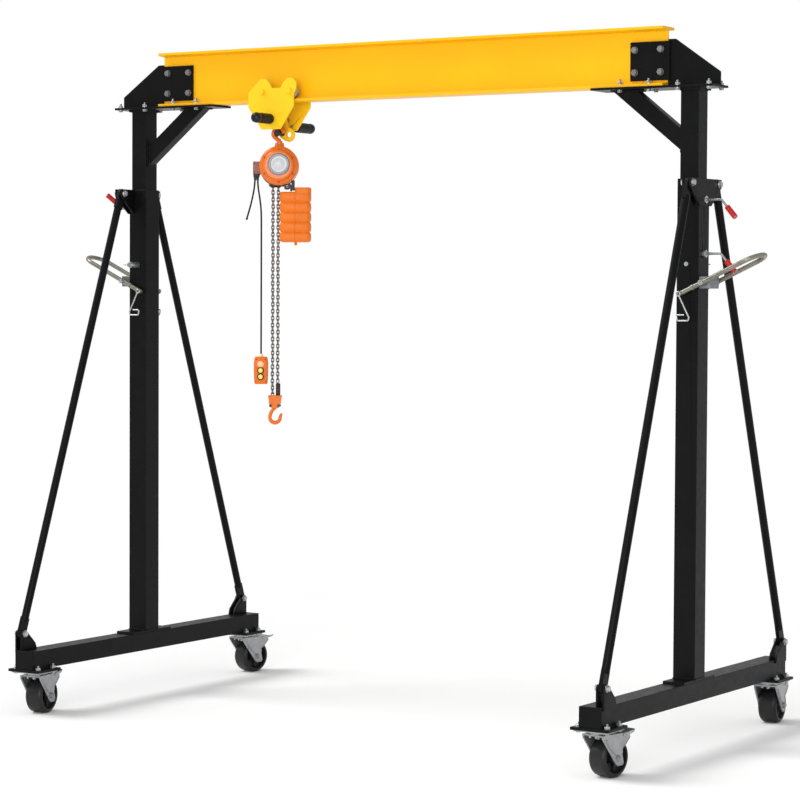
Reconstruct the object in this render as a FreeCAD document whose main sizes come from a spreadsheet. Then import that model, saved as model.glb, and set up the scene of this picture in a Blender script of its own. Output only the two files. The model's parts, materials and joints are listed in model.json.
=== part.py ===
"""Mobile gantry crane with two telescopic legs, an I-beam, a push trolley and an electric chain hoist.

Row frame: X along the beam, Y along the base beams, Z up, origin on the floor under the middle of the beam.
Sizes are millimetres. A leg is drawn once in its own frame (x away from the crane's middle) and placed
twice, the left one turned half round, so the two legs are the same piece.
"""
import FreeCAD
import Part
import Sketcher
import math
import os
import re

doc = FreeCAD.newDocument("gantry_crane")

# ---------------------------------------------------------------- driving dimensions
DIMENSIONS = {
    # legs
    "leg_spacing": 2878, "base_length": 1759, "base_width": 100, "base_height": 84, "base_wall": 5,
    "cap_thickness": 5, "foot_plate": 10, "foot_reach": 95,
    "post_size": 100, "post_wall": 5, "post_top": 2393, "mast_size": 84, "mast_wall": 5, "mast_overlap": 1300,
    # braces between the post tops and the base ends
    "brace_out": 39, "brace_diameter": 35, "brace_top_reach": 128, "brace_top_drop": 20, "brace_foot_inset": 31,
    "brace_foot_rise": 74, "brace_flat": 18, "lug_gap": 22, "lug_plate": 8, "lug_depth": 114,
    "lug_top": 15, "lug_ahead": 22, "lug_foot": 108, "lug_lap": 14, "brace_bolt": 12,
    # casters
    "caster_height": 198, "mount_plate": 12, "mount_width": 172, "mount_length": 162, "caster_inset": 76,
    "caster_trail": 61,
    "wheel_diameter": 160, "wheel_width": 84, "fork_gap": 94, "fork_sheet": 5,
    "top_plate_length": 140, "top_plate_width": 152, "top_plate_sheet": 6, "axle_diameter": 16,
    "yaw_front_left": 9, "yaw_front_right": -12, "yaw_rear_left": -13, "yaw_rear_right": 6,
    # beam and its brackets
    "beam_bottom": 2780, "beam_height": 250, "flange_width": 108, "flange_thickness": 12, "web_thickness": 9,
    "flange_taper": 2.8,
    "beam_inset": 121, "bracket_sheet": 10, "bracket_width": 150, "bracket_out": 120, "bracket_in": 450,
    "head_size": 105, "head_sheet": 10, "gusset_sheet": 10, "gusset_height": 198,
    "cover_inner": 293, "cover_outer": 110, "cover_height": 163, "cover_rise": 27,
    "knee_depth": 70, "knee_width": 50, "knee_angle": 38.6, "knee_top_in": 308, "knee_pad": 6,
    # height setting
    "hole_pitch": 150, "pin_diameter": 18, "pin_height": 2038, "pin_clearance": 0.5,
    "jack_out": 75, "jack_height": 1961, "jack_angle": 25, "lever_tube": 20, "lever_offset": 67,
    "lever_short": 119, "lever_long": 271, "jack_block_width": 90, "jack_bolt": 12, "link_wire": 7,
    "clamp_upper": 2306, "clamp_lower": 2081, "clamp_screw": 12, "clamp_stem": 78, "clamp_handle": 10,
    "clamp_reach": 140, "clamp_radius": 72, "grip_diameter": 22, "grip_length": 60,
    "left_clamp_angle": 150, "right_clamp_angle": 0,
    # trolley
    "trolley_place": -660, "trolley_length": 250, "trolley_sheet": 8, "trolley_gap": 10, "trolley_top": 105,
    "trolley_drop": 125, "roller_diameter": 60, "roller_spread": 75, "roller_shift": 30,
    "spindle_drop": 78, "spindle_diameter": 20,
    "spindle_grip": 48, "spindle_grip_length": 130, "spindle_reach": 205, "stub_shift": 22, "stub_drop": 108,
    "stub_reach": 236, "pin_drop": 139, "hang_pin": 25,
    "hanger_place": 30, "hang_pin_front": 22,
    # hoist, in the frame of its suspension hook
    "hoist_yaw": 30, "hoist_boss_top": 45, "hook_throat": 34, "hoist_drop": 150, "hoist_diameter": 176,
    "hoist_depth": 140, "dial_diameter": 101, "chain_x": -17, "guide_bottom": 243,
    "chain_spread": 24, "chain_width": 17, "block_top": 1206, "block_height": 56, "block_width": 60,
    "hook_drop": 1337, "container_bottom": 499, "container_band": 45.8, "container_raise": 21,
    "pendant_x": -82, "pendant_top": 1025, "pendant_length": 126, "pendant_width": 64,
    "cable_diameter": 8,
}

LEVELS = {
    "base_bottom": "caster_height + mount_plate",
    "base_top": "base_bottom + base_height",
    "post_bottom": "base_top + foot_plate",
    "head_top": "beam_bottom - bracket_sheet",
    "mast_top": "head_top - head_sheet",
    "mast_bottom": "post_top - mast_overlap",
    "leg_place": "leg_spacing / 2",
    "beam_half": "leg_spacing / 2 - beam_inset",
    "brace_foot": "base_length / 2 - brace_foot_inset",
    "brace_foot_height": "base_top + brace_foot_rise",
    "brace_top_height": "post_top - brace_top_drop",
    "caster_place": "base_length / 2 - caster_inset",
    "plate_inner": "flange_width / 2 + trolley_gap",
    "hang_height": "beam_bottom - pin_drop",
}


def make_sheets():
    """The driving dimensions as plain numbers, and the levels worked out from them."""
    driving = doc.addObject("Spreadsheet::Sheet", "dims")
    for row, (name, size) in enumerate(DIMENSIONS.items(), start=1):
        driving.set(f"A{row}", name)
        driving.set(f"B{row}", str(size))
        driving.setAlias(f"B{row}", name)
    doc.recompute()
    worked = doc.addObject("Spreadsheet::Sheet", "levels")
    for row, (name, formula) in enumerate(LEVELS.items(), start=1):
        worked.set(f"A{row}", name)
        worked.set(f"B{row}", "=" + bound(formula, worked_prefix=""))
        worked.setAlias(f"B{row}", name)
        doc.recompute()
    return driving


def bound(text, worked_prefix="levels."):
    """A size written with plain names, as an expression on the two sheets."""
    def cell(match):
        name = match.group(0)
        if name in DIMENSIONS:
            return "dims." + name
        return worked_prefix + name if name in LEVELS else name
    return re.sub(r"[a-z]\w*", cell, str(text))


def value(text):
    """The number that a size comes to."""
    return float(dims.evalExpression(bound(text)))


def point(places):
    return FreeCAD.Vector(*[value(place) for place in places])


dims = make_sheets()

# ---------------------------------------------------------------- building blocks
TURNS = {"X": ((0, 1, 0), 90), "Y": ((1, 0, 0), -90), "Z": ((0, 0, 1), 0)}


def bind(piece, **sizes):
    for name, size in sizes.items():
        piece.setExpression(name, bound(size))


def put(piece, place, axis=(0, 0, 1), angle=0):
    """Places a piece: its origin at three sizes, turned by an angle about an axis."""
    rotation = FreeCAD.Rotation(FreeCAD.Vector(*axis), value(angle))
    piece.Placement = FreeCAD.Placement(FreeCAD.Vector(), rotation)
    for letter, size in zip("xyz", place):
        piece.setExpression(f"Placement.Base.{letter}", bound(size))
    return piece


def box(name, sizes, corner):
    """A block with its lowest corner at a place."""
    piece = doc.addObject("Part::Box", name)
    bind(piece, Length=sizes[0], Width=sizes[1], Height=sizes[2])
    return put(piece, corner)


def centred_box(name, sizes, middle):
    corner = [f"{m} - ({s}) / 2" for s, m in zip(sizes, middle)]
    return box(name, sizes, corner)


def rod(name, diameter, length, start, along="Z"):
    """A round bar from a place along +X, +Y or +Z."""
    piece = doc.addObject("Part::Cylinder", name)
    bind(piece, Radius=f"({diameter}) / 2", Height=length)
    axis, angle = TURNS[along]
    return put(piece, start, axis, angle)


def centred_rod(name, diameter, length, middle, along):
    start = list(middle)
    index = "XYZ".index(along)
    start[index] = f"{middle[index]} - ({length}) / 2"
    return rod(name, diameter, length, start, along)


def hexagon(name, across, thickness, start, along="Z"):
    """A bolt's head or a nut, from a place along +X, +Y or +Z."""
    piece = doc.addObject("Part::Prism", name)
    piece.Polygon = 6
    bind(piece, Circumradius=f"({across}) / 1.732", Height=thickness)
    axis, angle = TURNS[along]
    return put(piece, start, axis, angle)


def cut(name, base, *tools):
    piece = doc.addObject("Part::Cut", name)
    piece.Base = base
    piece.Tool = tools[0] if len(tools) == 1 else fuse(name + "_tools", *tools)
    return piece


def fuse(name, *pieces):
    piece = doc.addObject("Part::MultiFuse", name)
    piece.Shapes = list(pieces)
    piece.Refine = True
    return piece


def gather(name, *pieces):
    """Several solids that don't touch, as one piece."""
    piece = doc.addObject("Part::Compound", name)
    piece.Links = list(pieces)
    return piece


def tube(name, sizes, wall, middle, along):
    """A rectangular tube, open at both ends."""
    inner = [f"{s} - 2 * ({wall})" for s in sizes]
    index = "XYZ".index(along)
    inner[index] = f"{sizes[index]} + 2"
    outside = centred_box(name + "_outside", sizes, middle)
    return cut(name, outside, centred_box(name + "_inside", inner, middle))


def plate(name, plane, outline, thickness, place, holes=(), axis=(0, 0, 1), angle=0):
    """A plate of a given outline in plane XY, XZ or YZ, half its thickness each side of that plane."""
    body = doc.addObject("PartDesign::Body", name)
    sketch = body.newObject("Sketcher::SketchObject", name + "_sketch")
    origin = [o for o in body.Origin.OriginFeatures if o.Role == plane + "_Plane"][0]
    sketch.AttachmentSupport = (origin, "")
    sketch.MapMode = "FlatFace"
    corners = [(value(a), value(b)) for a, b in outline]
    for start, end in zip(corners, corners[1:] + corners[:1]):
        line = Part.LineSegment(FreeCAD.Vector(*start, 0), FreeCAD.Vector(*end, 0))
        sketch.addGeometry(line)
    count = len(corners)
    for index in range(count):
        sketch.addConstraint(Sketcher.Constraint("Coincident", index, 2, (index + 1) % count, 1))
    for index, sizes in enumerate(outline):
        for kind, size, number in zip(("DistanceX", "DistanceY"), sizes, corners[index]):
            where = sketch.addConstraint(Sketcher.Constraint(kind, -1, 1, index, 1, number))
            sketch.setExpression(f"Constraints[{where}]", bound(size))
    for a, b, diameter in holes:
        centre = FreeCAD.Vector(value(a), value(b), 0)
        circle = sketch.addGeometry(Part.Circle(centre, FreeCAD.Vector(0, 0, 1), value(diameter) / 2))
        for kind, size, number in (("DistanceX", a, centre.x), ("DistanceY", b, centre.y)):
            where = sketch.addConstraint(Sketcher.Constraint(kind, -1, 1, circle, 3, number))
            sketch.setExpression(f"Constraints[{where}]", bound(size))
        where = sketch.addConstraint(Sketcher.Constraint("Diameter", circle, value(diameter)))
        sketch.setExpression(f"Constraints[{where}]", bound(diameter))
    pad = body.newObject("PartDesign::Pad", name + "_pad")
    pad.Profile = sketch
    pad.Midplane = True
    bind(pad, Length=thickness)
    sketch.Visibility = False
    return put(body, place, axis, angle)


def turned(name, outline, place, along):
    """A solid of revolution: its outline is (radius, distance along the axis)."""
    body = doc.addObject("PartDesign::Body", name)
    sketch = body.newObject("Sketcher::SketchObject", name + "_sketch")
    origin = [o for o in body.Origin.OriginFeatures if o.Role == "XZ_Plane"][0]
    sketch.AttachmentSupport = (origin, "")
    sketch.MapMode = "FlatFace"
    corners = [(value(a), value(b)) for a, b in outline]
    for start, end in zip(corners, corners[1:] + corners[:1]):
        line = Part.LineSegment(FreeCAD.Vector(*start, 0), FreeCAD.Vector(*end, 0))
        sketch.addGeometry(line)
    count = len(corners)
    for index in range(count):
        sketch.addConstraint(Sketcher.Constraint("Coincident", index, 2, (index + 1) % count, 1))
    for index, sizes in enumerate(outline):
        for kind, size, number in zip(("DistanceX", "DistanceY"), sizes, corners[index]):
            where = sketch.addConstraint(Sketcher.Constraint(kind, -1, 1, index, 1, number))
            sketch.setExpression(f"Constraints[{where}]", bound(size))
    revolution = body.newObject("PartDesign::Revolution", name + "_turn")
    revolution.Profile = sketch
    revolution.ReferenceAxis = (sketch, ["V_Axis"])
    revolution.Angle = 360
    axis, angle = TURNS[along]
    return put(body, place, axis, angle)


def path_of(corners, bends):
    """Straight runs through the corners, joined by tangent arcs of the given radii."""
    edges = []
    start = corners[0]
    for before, corner, after, bend in zip(corners, corners[1:], corners[2:], bends):
        back = (before - corner).normalize()
        ahead = (after - corner).normalize()
        half = back.getAngle(ahead) / 2
        run = bend / math.tan(half)
        middle = (back + ahead).normalize()
        centre = corner + middle * (bend / math.sin(half))
        first = corner + back * run
        last = corner + ahead * run
        edges.append(Part.makeLine(start, first))
        edges.append(Part.Arc(first, centre - middle * bend, last).toShape())
        start = last
    edges.append(Part.makeLine(start, corners[-1]))
    return Part.Wire(edges)


def bent_bar(name, places, bends, diameter):
    """A round bar bent along straight runs and arcs."""
    path = path_of([point(place) for place in places], [value(bend) for bend in bends])
    heading = path.Edges[0].tangentAt(path.Edges[0].FirstParameter)
    circle = Part.Circle(path.Vertexes[0].Point, heading, value(diameter) / 2)
    piece = doc.addObject("Part::Feature", name)
    piece.Shape = path.makePipeShell([Part.Wire(circle.toShape())], True, True)
    return piece


def in_leg(name, piece, side):
    """A piece of a leg's own frame, put where that leg stands."""
    placed = gather(name, piece)
    if side == "right":
        return put(placed, ("leg_place", "0", "0"))
    return put(placed, ("-leg_place", "0", "0"), (0, 0, 1), 180)


nodes = {}


def node(name, piece):
    """Declares a finished piece as a sub-part of this name."""
    piece.Label = name
    nodes[name] = piece
    return piece


def leg_node(name, piece):
    """One sub-part for each leg."""
    for side in ("left", "right"):
        node(f"{side}_{name}", in_leg(f"{side}_{name}", piece, side))


def legs_node(name, piece):
    """One sub-part that holds the same piece of both legs."""
    sides = [in_leg(f"{name}_{side}", piece, side) for side in ("left", "right")]
    node(name, gather(name, *sides))


SIDES = {"front": "-1", "rear": "1"}


# ---------------------------------------------------------------- lower frame of a leg
def base_beam():
    middle = ("0", "0", "base_bottom + base_height / 2")
    length = "base_length - 2 * cap_thickness"
    return tube("base_beam", ("base_width", length, "base_height"), "base_wall", middle, "Y")


def end_caps():
    """The plates that close the base beam's ends."""
    caps = []
    for end, sign in SIDES.items():
        middle = ("0", f"{sign} * (base_length - cap_thickness) / 2", "base_bottom + base_height / 2")
        sizes = ("base_width", "cap_thickness", "base_height")
        caps.append(centred_box(f"end_cap_{end}", sizes, middle))
    return gather("end_caps_pair", *caps)


def foot_plate():
    sizes = ("base_width", "post_size + 2 * foot_reach", "foot_plate")
    return centred_box("foot_plate_block", sizes, ("0", "0", "base_top + foot_plate / 2"))


def outer_post():
    """The post's tube, with the holes of the lock pin, the lift slot and the clamp screws."""
    length = "post_top - post_bottom"
    middle = ("0", "0", "(post_top + post_bottom) / 2")
    shell = tube("outer_post_tube", ("post_size", "post_size", length), "post_wall", middle, "Z")
    hole = "pin_diameter + 2 * pin_clearance"
    pin_hole = centred_rod("post_pin_hole", hole, "post_size + 2", ("0", "0", "pin_height"), "Y")
    upper = rod("post_clamp_hole", "clamp_screw + 1", "post_size", ("20", "0", "clamp_upper"), "X")
    return shell, [pin_hole, upper]


def clamp_nut(name, height):
    """The threaded boss on the post's outer face."""
    boss = hexagon(name + "_boss", "30", "12", ("post_size / 2", "0", height), "X")
    bore = rod(name + "_bore", "clamp_screw + 0.2", "40", ("post_size / 2 - 10", "0", height), "X")
    return cut(name, boss, bore)


def brace():
    """A round tube from the post top to the base end, flattened where it is bolted."""
    rise = "brace_top_height - brace_foot_height"
    run = "brace_foot - brace_top_reach"
    length = math.hypot(value(rise), value(run))
    lean = math.degrees(math.atan2(value(run), value(rise)))
    flat_length = 75
    middle = rod("brace_tube", "brace_diameter", f"{length} - {2 * flat_length - 30}",
                 ("0", "0", f"{flat_length - 15}"), "Z")
    ends = []
    for end, start in (("foot", 0), ("top", length - flat_length)):
        blade = box(f"brace_{end}_blade", ("brace_flat", "44", str(flat_length)),
                    ("-brace_flat / 2", "-22", str(start)))
        centre = 0 if end == "foot" else length
        ends += [blade, centred_rod(f"brace_{end}_round", "44", "brace_flat", ("0", "0", str(centre)), "X")]
    whole = fuse("brace_bar", middle, *ends)
    holes = [centred_rod(f"brace_{end}_hole", "brace_bolt + 0.4", "40", ("0", "0", str(at)), "X")
             for end, at in (("foot", 0), ("top", length))]
    drilled = cut("brace_drilled", whole, *holes)
    pair = []
    for end, sign in SIDES.items():
        copy = gather(f"brace_{end}", drilled)
        tilt = lean if end == "rear" else -lean
        pair.append(put(copy, ("brace_out", f"{sign} * brace_foot", "brace_foot_height"), (1, 0, 0), tilt))
    return gather("brace_pair", *pair)


def top_lugs():
    """The wide plate on the post's outer face and the two plates welded on its sides."""
    wing = "brace_top_reach + 22"
    reach = "brace_bolt + 0.4"
    outline = [("-({0})".format(wing), "0"), ("-({0})".format(wing), "-36"), ("-post_size / 2 - 4", "-lug_depth"),
               ("post_size / 2 + 4", "-lug_depth"), (wing, "-36"), (wing, "0")]
    holes = [("-brace_top_reach", "-brace_top_drop", reach), ("brace_top_reach", "-brace_top_drop", reach),
             ("0", "clamp_upper - post_top", "36")]
    outer = plate("top_lug_outer", "YZ", outline, "lug_plate",
                  ("post_size / 2 + lug_plate / 2", "0", "post_top"), holes)
    pieces = [outer]
    for end, sign in SIDES.items():
        side = [("0", "0"), (f"{sign} * ({wing} - post_size / 2)", "0"),
                (f"{sign} * ({wing} - post_size / 2)", "-36"), (f"{sign} * 4", "-lug_depth"), ("0", "-lug_depth")]
        hole = [(f"{sign} * (brace_top_reach - post_size / 2)", "-brace_top_drop", reach)]
        place = ("post_size / 2 - lug_gap - lug_plate / 2", f"{sign} * post_size / 2", "post_top")
        pieces.append(plate(f"top_lug_{end}", "YZ", side, "lug_plate", place, hole))
    return pieces


def foot_lugs():
    """The clevis plates at the base ends: one beside the beam, one on top of it."""
    pieces = []
    for end, sign in SIDES.items():
        back = f"{sign} * (lug_ahead - lug_foot)"
        rounded = [(f"{sign} * lug_ahead", "brace_foot_rise + 2"), (f"{sign} * 13", "brace_foot_rise + lug_top"),
                   (f"{sign} * -11", "brace_foot_rise + lug_top"), (f"{back} + {sign} * 10", "26")]
        inner = [(f"{sign} * lug_ahead", "0"), *rounded, (back, "0")]
        outer = [(f"{sign} * lug_ahead", "-lug_lap"), *rounded, (back, "-lug_lap")]
        outer_place = ("base_width / 2 + lug_plate / 2", f"{sign} * brace_foot", "base_top")
        inner_place = ("base_width / 2 - lug_gap - lug_plate / 2", f"{sign} * brace_foot", "base_top")
        hole = [("0", "brace_foot_rise", "brace_bolt + 0.4")]
        pieces.append(plate(f"foot_lug_outer_{end}", "YZ", outer, "lug_plate", outer_place, hole))
        pieces.append(plate(f"foot_lug_inner_{end}", "YZ", inner, "lug_plate", inner_place, hole))
    return pieces


def brace_bolts():
    """A bolt, head and nut through each clevis."""
    pieces = []
    grip = "lug_gap + 2 * lug_plate"
    start = "post_size / 2 - lug_gap - lug_plate"
    for end, sign in SIDES.items():
        for level, reach, height in (("top", "brace_top_reach", "brace_top_height"),
                                     ("foot", "brace_foot", "brace_foot_height")):
            name = f"brace_bolt_{level}_{end}"
            y = f"{sign} * {reach}"
            shank = rod(name + "_shank", "brace_bolt", f"{grip} + 24", (f"{start} - 12", y, height), "X")
            head = hexagon(name + "_head", "22", "9", (f"{start} + {grip} + 2.5", y, height), "X")
            nut = hexagon(name + "_nut", "22", "9", (f"{start} - 11.5", y, height), "X")
            washers = [rod(f"{name}_washer_{k}", "30", "2.5", (x, y, height), "X")
                       for k, x in enumerate((f"{start} + {grip}", f"{start} - 2.5"))]
            pieces.append(fuse(name, shank, head, nut, *washers))
    return gather("brace_bolts_leg", *pieces)


def caster_mounts():
    """The black plates under the base beam that carry the casters."""
    plates = []
    for end, sign in SIDES.items():
        sizes = ("mount_width", "mount_length", "mount_plate")
        middle = ("0", f"{sign} * caster_place", "caster_height + mount_plate / 2")
        plates.append(centred_box(f"caster_mount_{end}", sizes, middle))
    return gather("caster_mounts_leg", *plates)


def caster_tops():
    """The zinc plates that the swivel heads hang from, with their four bolts."""
    tops = []
    for end, sign in SIDES.items():
        y = f"{sign} * caster_place"
        sizes = ("top_plate_width", "top_plate_length", "top_plate_sheet")
        sheet = centred_box(f"caster_top_{end}_sheet", sizes, ("0", y, "caster_height - top_plate_sheet / 2"))
        race = rod(f"caster_top_{end}_race", "78", "9", ("0", y, "caster_height - top_plate_sheet - 9"))
        king = rod(f"caster_top_{end}_pin", "16", "34", ("0", y, "caster_height - top_plate_sheet - 34"))
        bolts = []
        for a in (-1, 1):
            for b in (-1, 1):
                at = (f"{a} * 64", f"{y} + {b} * 52", "caster_height - top_plate_sheet - 5")
                bolts.append(hexagon(f"caster_top_{end}_bolt_{a + 1}{b + 1}", "17", "6", at))
        tops.append(fuse(f"caster_top_{end}", sheet, race, king, *bolts))
    return gather("caster_tops_leg", *tops)


# ---------------------------------------------------------------- casters, in a frame on the swivel axis
PEDAL_PIVOT = ("0", "caster_trail + 35", "wheel_diameter + 11")


def caster_fork():
    """The pressed fork: a crown under the swivel race, two wide legs down to the axle and the pedal's pin."""
    crown_top = "caster_height - top_plate_sheet - 13.3"
    crown = box("fork_crown", ("fork_gap + 2 * fork_sheet", "96", "fork_sheet"),
                ("-fork_gap / 2 - fork_sheet", "-40", f"{crown_top} - fork_sheet"))
    dome = rod("fork_dome", "74", "5", ("0", "0", f"{crown_top} - 1"))
    legs = []
    axle_height = "wheel_diameter / 2"
    for side, sign in (("left", -1), ("right", 1)):
        outline = [("-40", crown_top), ("caster_trail + 68", crown_top),
                   ("caster_trail + 71", f"{axle_height} + 80"), ("caster_trail + 45", f"{axle_height} + 54"),
                   ("caster_trail + 22", f"{axle_height} + 38"), ("caster_trail + 22", f"{axle_height} + 20"),
                   ("caster_trail + 32", f"{axle_height} - 20"), ("caster_trail + 25", f"{axle_height} - 29"),
                   ("caster_trail - 7", f"{axle_height} - 30"), ("caster_trail - 18", f"{axle_height} - 20"),
                   ("-36", f"{crown_top} - 14")]
        legs.append(plate(f"fork_leg_{side}", "YZ", outline, "fork_sheet",
                          (f"{sign} * (fork_gap / 2 + fork_sheet / 2)", "0", "0")))
    middle = ("0", "caster_trail", axle_height)
    axle = centred_rod("fork_axle", "axle_diameter", "fork_gap + 2 * fork_sheet + 26", middle, "X")
    nuts = [hexagon(f"fork_axle_nut_{k}", "24", "9", (x, "caster_trail", axle_height), "X")
            for k, x in enumerate(("fork_gap / 2 + fork_sheet", "-fork_gap / 2 - fork_sheet - 9"))]
    pin = centred_rod("pedal_pin", "6.8", "fork_gap + 2 * fork_sheet", PEDAL_PIVOT, "X")
    king = rod("fork_king_hole", "16.6", "60", ("0", "0", "caster_height - 60"))
    return cut("fork_frame", fuse("fork_whole", crown, dome, *legs, axle, *nuts, pin), king)


def caster_wheel():
    """A wide solid tyre with rounded shoulders, dished at both sides round a hub."""
    r = "wheel_diameter / 2"
    w = "wheel_width / 2"
    hub = "fork_gap / 2 - 1"
    outline = [("axle_diameter / 2 + 0.1", f"-({hub})"), ("20", f"-({hub})"), ("23", f"-{w} + 24"),
               (f"{r} - 24", f"-{w} + 20"), (f"{r} - 18", f"-{w}"), (f"{r} - 10", f"-{w}"),
               (f"{r} - 3", f"-{w} + 6"), (r, f"-{w} + 16"), (r, f"{w} - 16"), (f"{r} - 3", f"{w} - 6"),
               (f"{r} - 10", w), (f"{r} - 18", w), (f"{r} - 24", f"{w} - 20"), ("23", f"{w} - 24"),
               ("20", hub), ("axle_diameter / 2 + 0.1", hub)]
    return turned("wheel", outline, ("0", "caster_trail", "wheel_diameter / 2"), "X")


def brake_pedal():
    """The foot pedal behind the wheel: a flared tread on a cross tube."""
    tread = [("-16", "-5"), ("40", "-7"), ("74", "0"), ("82", "12"), ("79", "14"), ("71", "4"), ("40", "-3"),
             ("-16", "-1")]
    body = plate("pedal_tread", "YZ", tread, "fork_gap - 12", PEDAL_PIVOT)
    hinge = centred_rod("pedal_hinge", "12", "fork_gap - 12", PEDAL_PIVOT, "X")
    bore = centred_rod("pedal_bore", "7", "fork_gap + 2", PEDAL_PIVOT, "X")
    return cut("pedal_frame", fuse("pedal_whole", body, hinge), bore)


CASTERS = {
    "front_left": ("-leg_place", "-caster_place"),
    "front_right": ("leg_place", "-caster_place"),
    "rear_left": ("-leg_place", "caster_place"),
    "rear_right": ("leg_place", "caster_place"),
}


def casters():
    pieces = {"fork": caster_fork(), "wheel": caster_wheel(), "brake": brake_pedal()}
    for place, (x, y) in CASTERS.items():
        for kind, piece in pieces.items():
            copy = gather(f"caster_{kind}_{place}", piece)
            node(f"caster_{kind}_{place}", put(copy, (x, y, "0"), (0, 0, 1), f"yaw_{place}"))


# ---------------------------------------------------------------- height setting
def lock_pin():
    """A straight pin through the post and the mast, with a collar and a ring at its outer end."""
    start = "-post_size / 2 - 14"
    bar = rod("lock_pin_bar", "pin_diameter", "post_size + 14 + 72", ("0", start, "pin_height"), "Y")
    sleeve = rod("lock_pin_sleeve", "28", "60", ("0", "post_size / 2 + 0.5", "pin_height"), "Y")
    ring = doc.addObject("Part::Torus", "lock_pin_ring")
    bind(ring, Radius1="13.5", Radius2="3")
    put(ring, ("0", "post_size / 2 + 84", "pin_height"), (1, 0, 0), 0)
    neck = rod("lock_pin_neck", "10", "14", ("0", "post_size / 2 + 58", "pin_height"), "Y")
    return fuse("lock_pin_whole", bar, sleeve, neck, ring)


def jack_block():
    """The fulcrum block on the post's outer face."""
    middle = ("post_size / 2 + 25", "0", "jack_height")
    block = centred_box("jack_block_body", ("50", "jack_block_width", "50"), middle)
    bore = centred_rod("jack_block_bore", "jack_bolt + 0.2", "jack_block_width + 2",
                       ("jack_out", "0", "jack_height"), "Y")
    return cut("jack_block", block, bore)


def jack_bolt():
    """The bolt that the lever rocks on."""
    reach = "2 * lever_offset + lever_tube + 2"
    at = ("jack_out", "0", "jack_height")
    shank = centred_rod("jack_bolt_shank", "jack_bolt", f"{reach} + 20", at, "Y")
    heads = [hexagon(f"jack_bolt_head_{k}", "20", "8", ("jack_out", y, "jack_height"), "Y")
             for k, y in enumerate((f"({reach}) / 2", f"-({reach}) / 2 - 8"))]
    return fuse("jack_bolt_whole", shank, *heads)


def jack_lever():
    """A bent tube with both ends beside the post, rocking on the fulcrum bolt."""
    tip = "lever_long"
    y = "lever_offset"
    places = [("-lever_short", f"-{y}", "0"), (tip, f"-{y}", "0"), (tip, y, "0"), ("-lever_short", y, "0")]
    bar = bent_bar("lever_tube_bar", places, ["lever_offset - 0.1"] * 2, "lever_tube")
    collars = []
    holes = []
    pins = []
    for end, sign in SIDES.items():
        at = f"{sign} * {y}"
        collars.append(rod(f"lever_collar_{end}", "24", "12", ("-52", at, "0"), "X"))
        holes.append(centred_rod(f"lever_hole_{end}", "jack_bolt + 0.3", "lever_tube + 2", ("0", at, "0"), "Y"))
        inner = f"{at} - lever_tube / 2" if end == "rear" else f"{at} - lever_tube / 2 - 14"
        pins.append(rod(f"lever_pin_{end}", "8", "lever_tube + 14", ("-lever_short + 8", inner, "0"), "Y"))
    whole = cut("lever_drilled", fuse("lever_whole", bar, *collars, *pins), *holes)
    lever = gather("lever_in_leg", whole)
    return put(lever, ("jack_out", "0", "jack_height"), (0, 1, 0), "-jack_angle")


def link_top():
    """Where the links hang on the lever's short ends: (x, z) as sizes."""
    angle = math.radians(value("jack_angle"))
    arm = value("lever_short - 8")
    return value("jack_out") - arm * math.cos(angle), value("jack_height") - arm * math.sin(angle)


def lift_link():
    """The bent wires that hang from the lever's short ends, one each side of the post."""
    x, z = link_top()
    wires = []
    for end, sign in SIDES.items():
        y = f"{sign} * (lever_offset + lever_tube / 2 + 6)"
        eye = doc.addObject("Part::Torus", f"link_eye_{end}")
        bind(eye, Radius1="8.2", Radius2="link_wire / 2")
        put(eye, (str(x), y, str(z)), (1, 0, 0), 90)
        foot = z - 98
        places = [(x + 4, y, z - 8), (x + 50, y, foot), (x + 46, y, foot - 14), (x - 2, y, foot - 14),
                  (x - 8, y, foot + 10), (x + 28, y, foot + 10)]
        wire = bent_bar(f"link_wire_{end}", places, ["5", "5", "6", "6"], "link_wire")
        wires.append(fuse(f"lift_link_{end}", eye, wire))
    return gather("lift_link_pair", *wires)


def clamp_screw(name):
    """A clamp screw with a cranked handle and its grip, along +X from the post's outer face."""
    tip = "mast_size / 2 - post_size / 2 + 0.3"
    places = [(tip, "0", "0"), ("clamp_stem", "0", "0"), ("clamp_reach", "0", "-clamp_radius")]
    handle = bent_bar(name + "_handle", places, ["14"], "clamp_handle")
    thread = rod(name + "_thread", "clamp_screw", f"34 - ({tip})", (tip, "0", "0"), "X")
    slope = math.degrees(math.atan2(value("clamp_radius"), value("clamp_reach - clamp_stem")))
    grip = rod(name + "_grip", "grip_diameter", "grip_length", ("0", "0", "0"), "Z")
    end = FreeCAD.Vector(value("clamp_reach"), 0, -value("clamp_radius"))
    back = FreeCAD.Vector(-math.cos(math.radians(slope)), 0, math.sin(math.radians(slope)))
    put(grip, [str(c) for c in end - back * 6], (0, 1, 0), slope - 90)
    return fuse(name, handle, thread, grip)


CLAMPS = {
    "left_clamp_screw": ("left", "clamp_upper", "left_clamp_angle"),
    "right_clamp_screw": ("right", "clamp_upper", "right_clamp_angle"),
    "right_lower_clamp_screw": ("right", "clamp_lower", "right_clamp_angle"),
}


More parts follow.
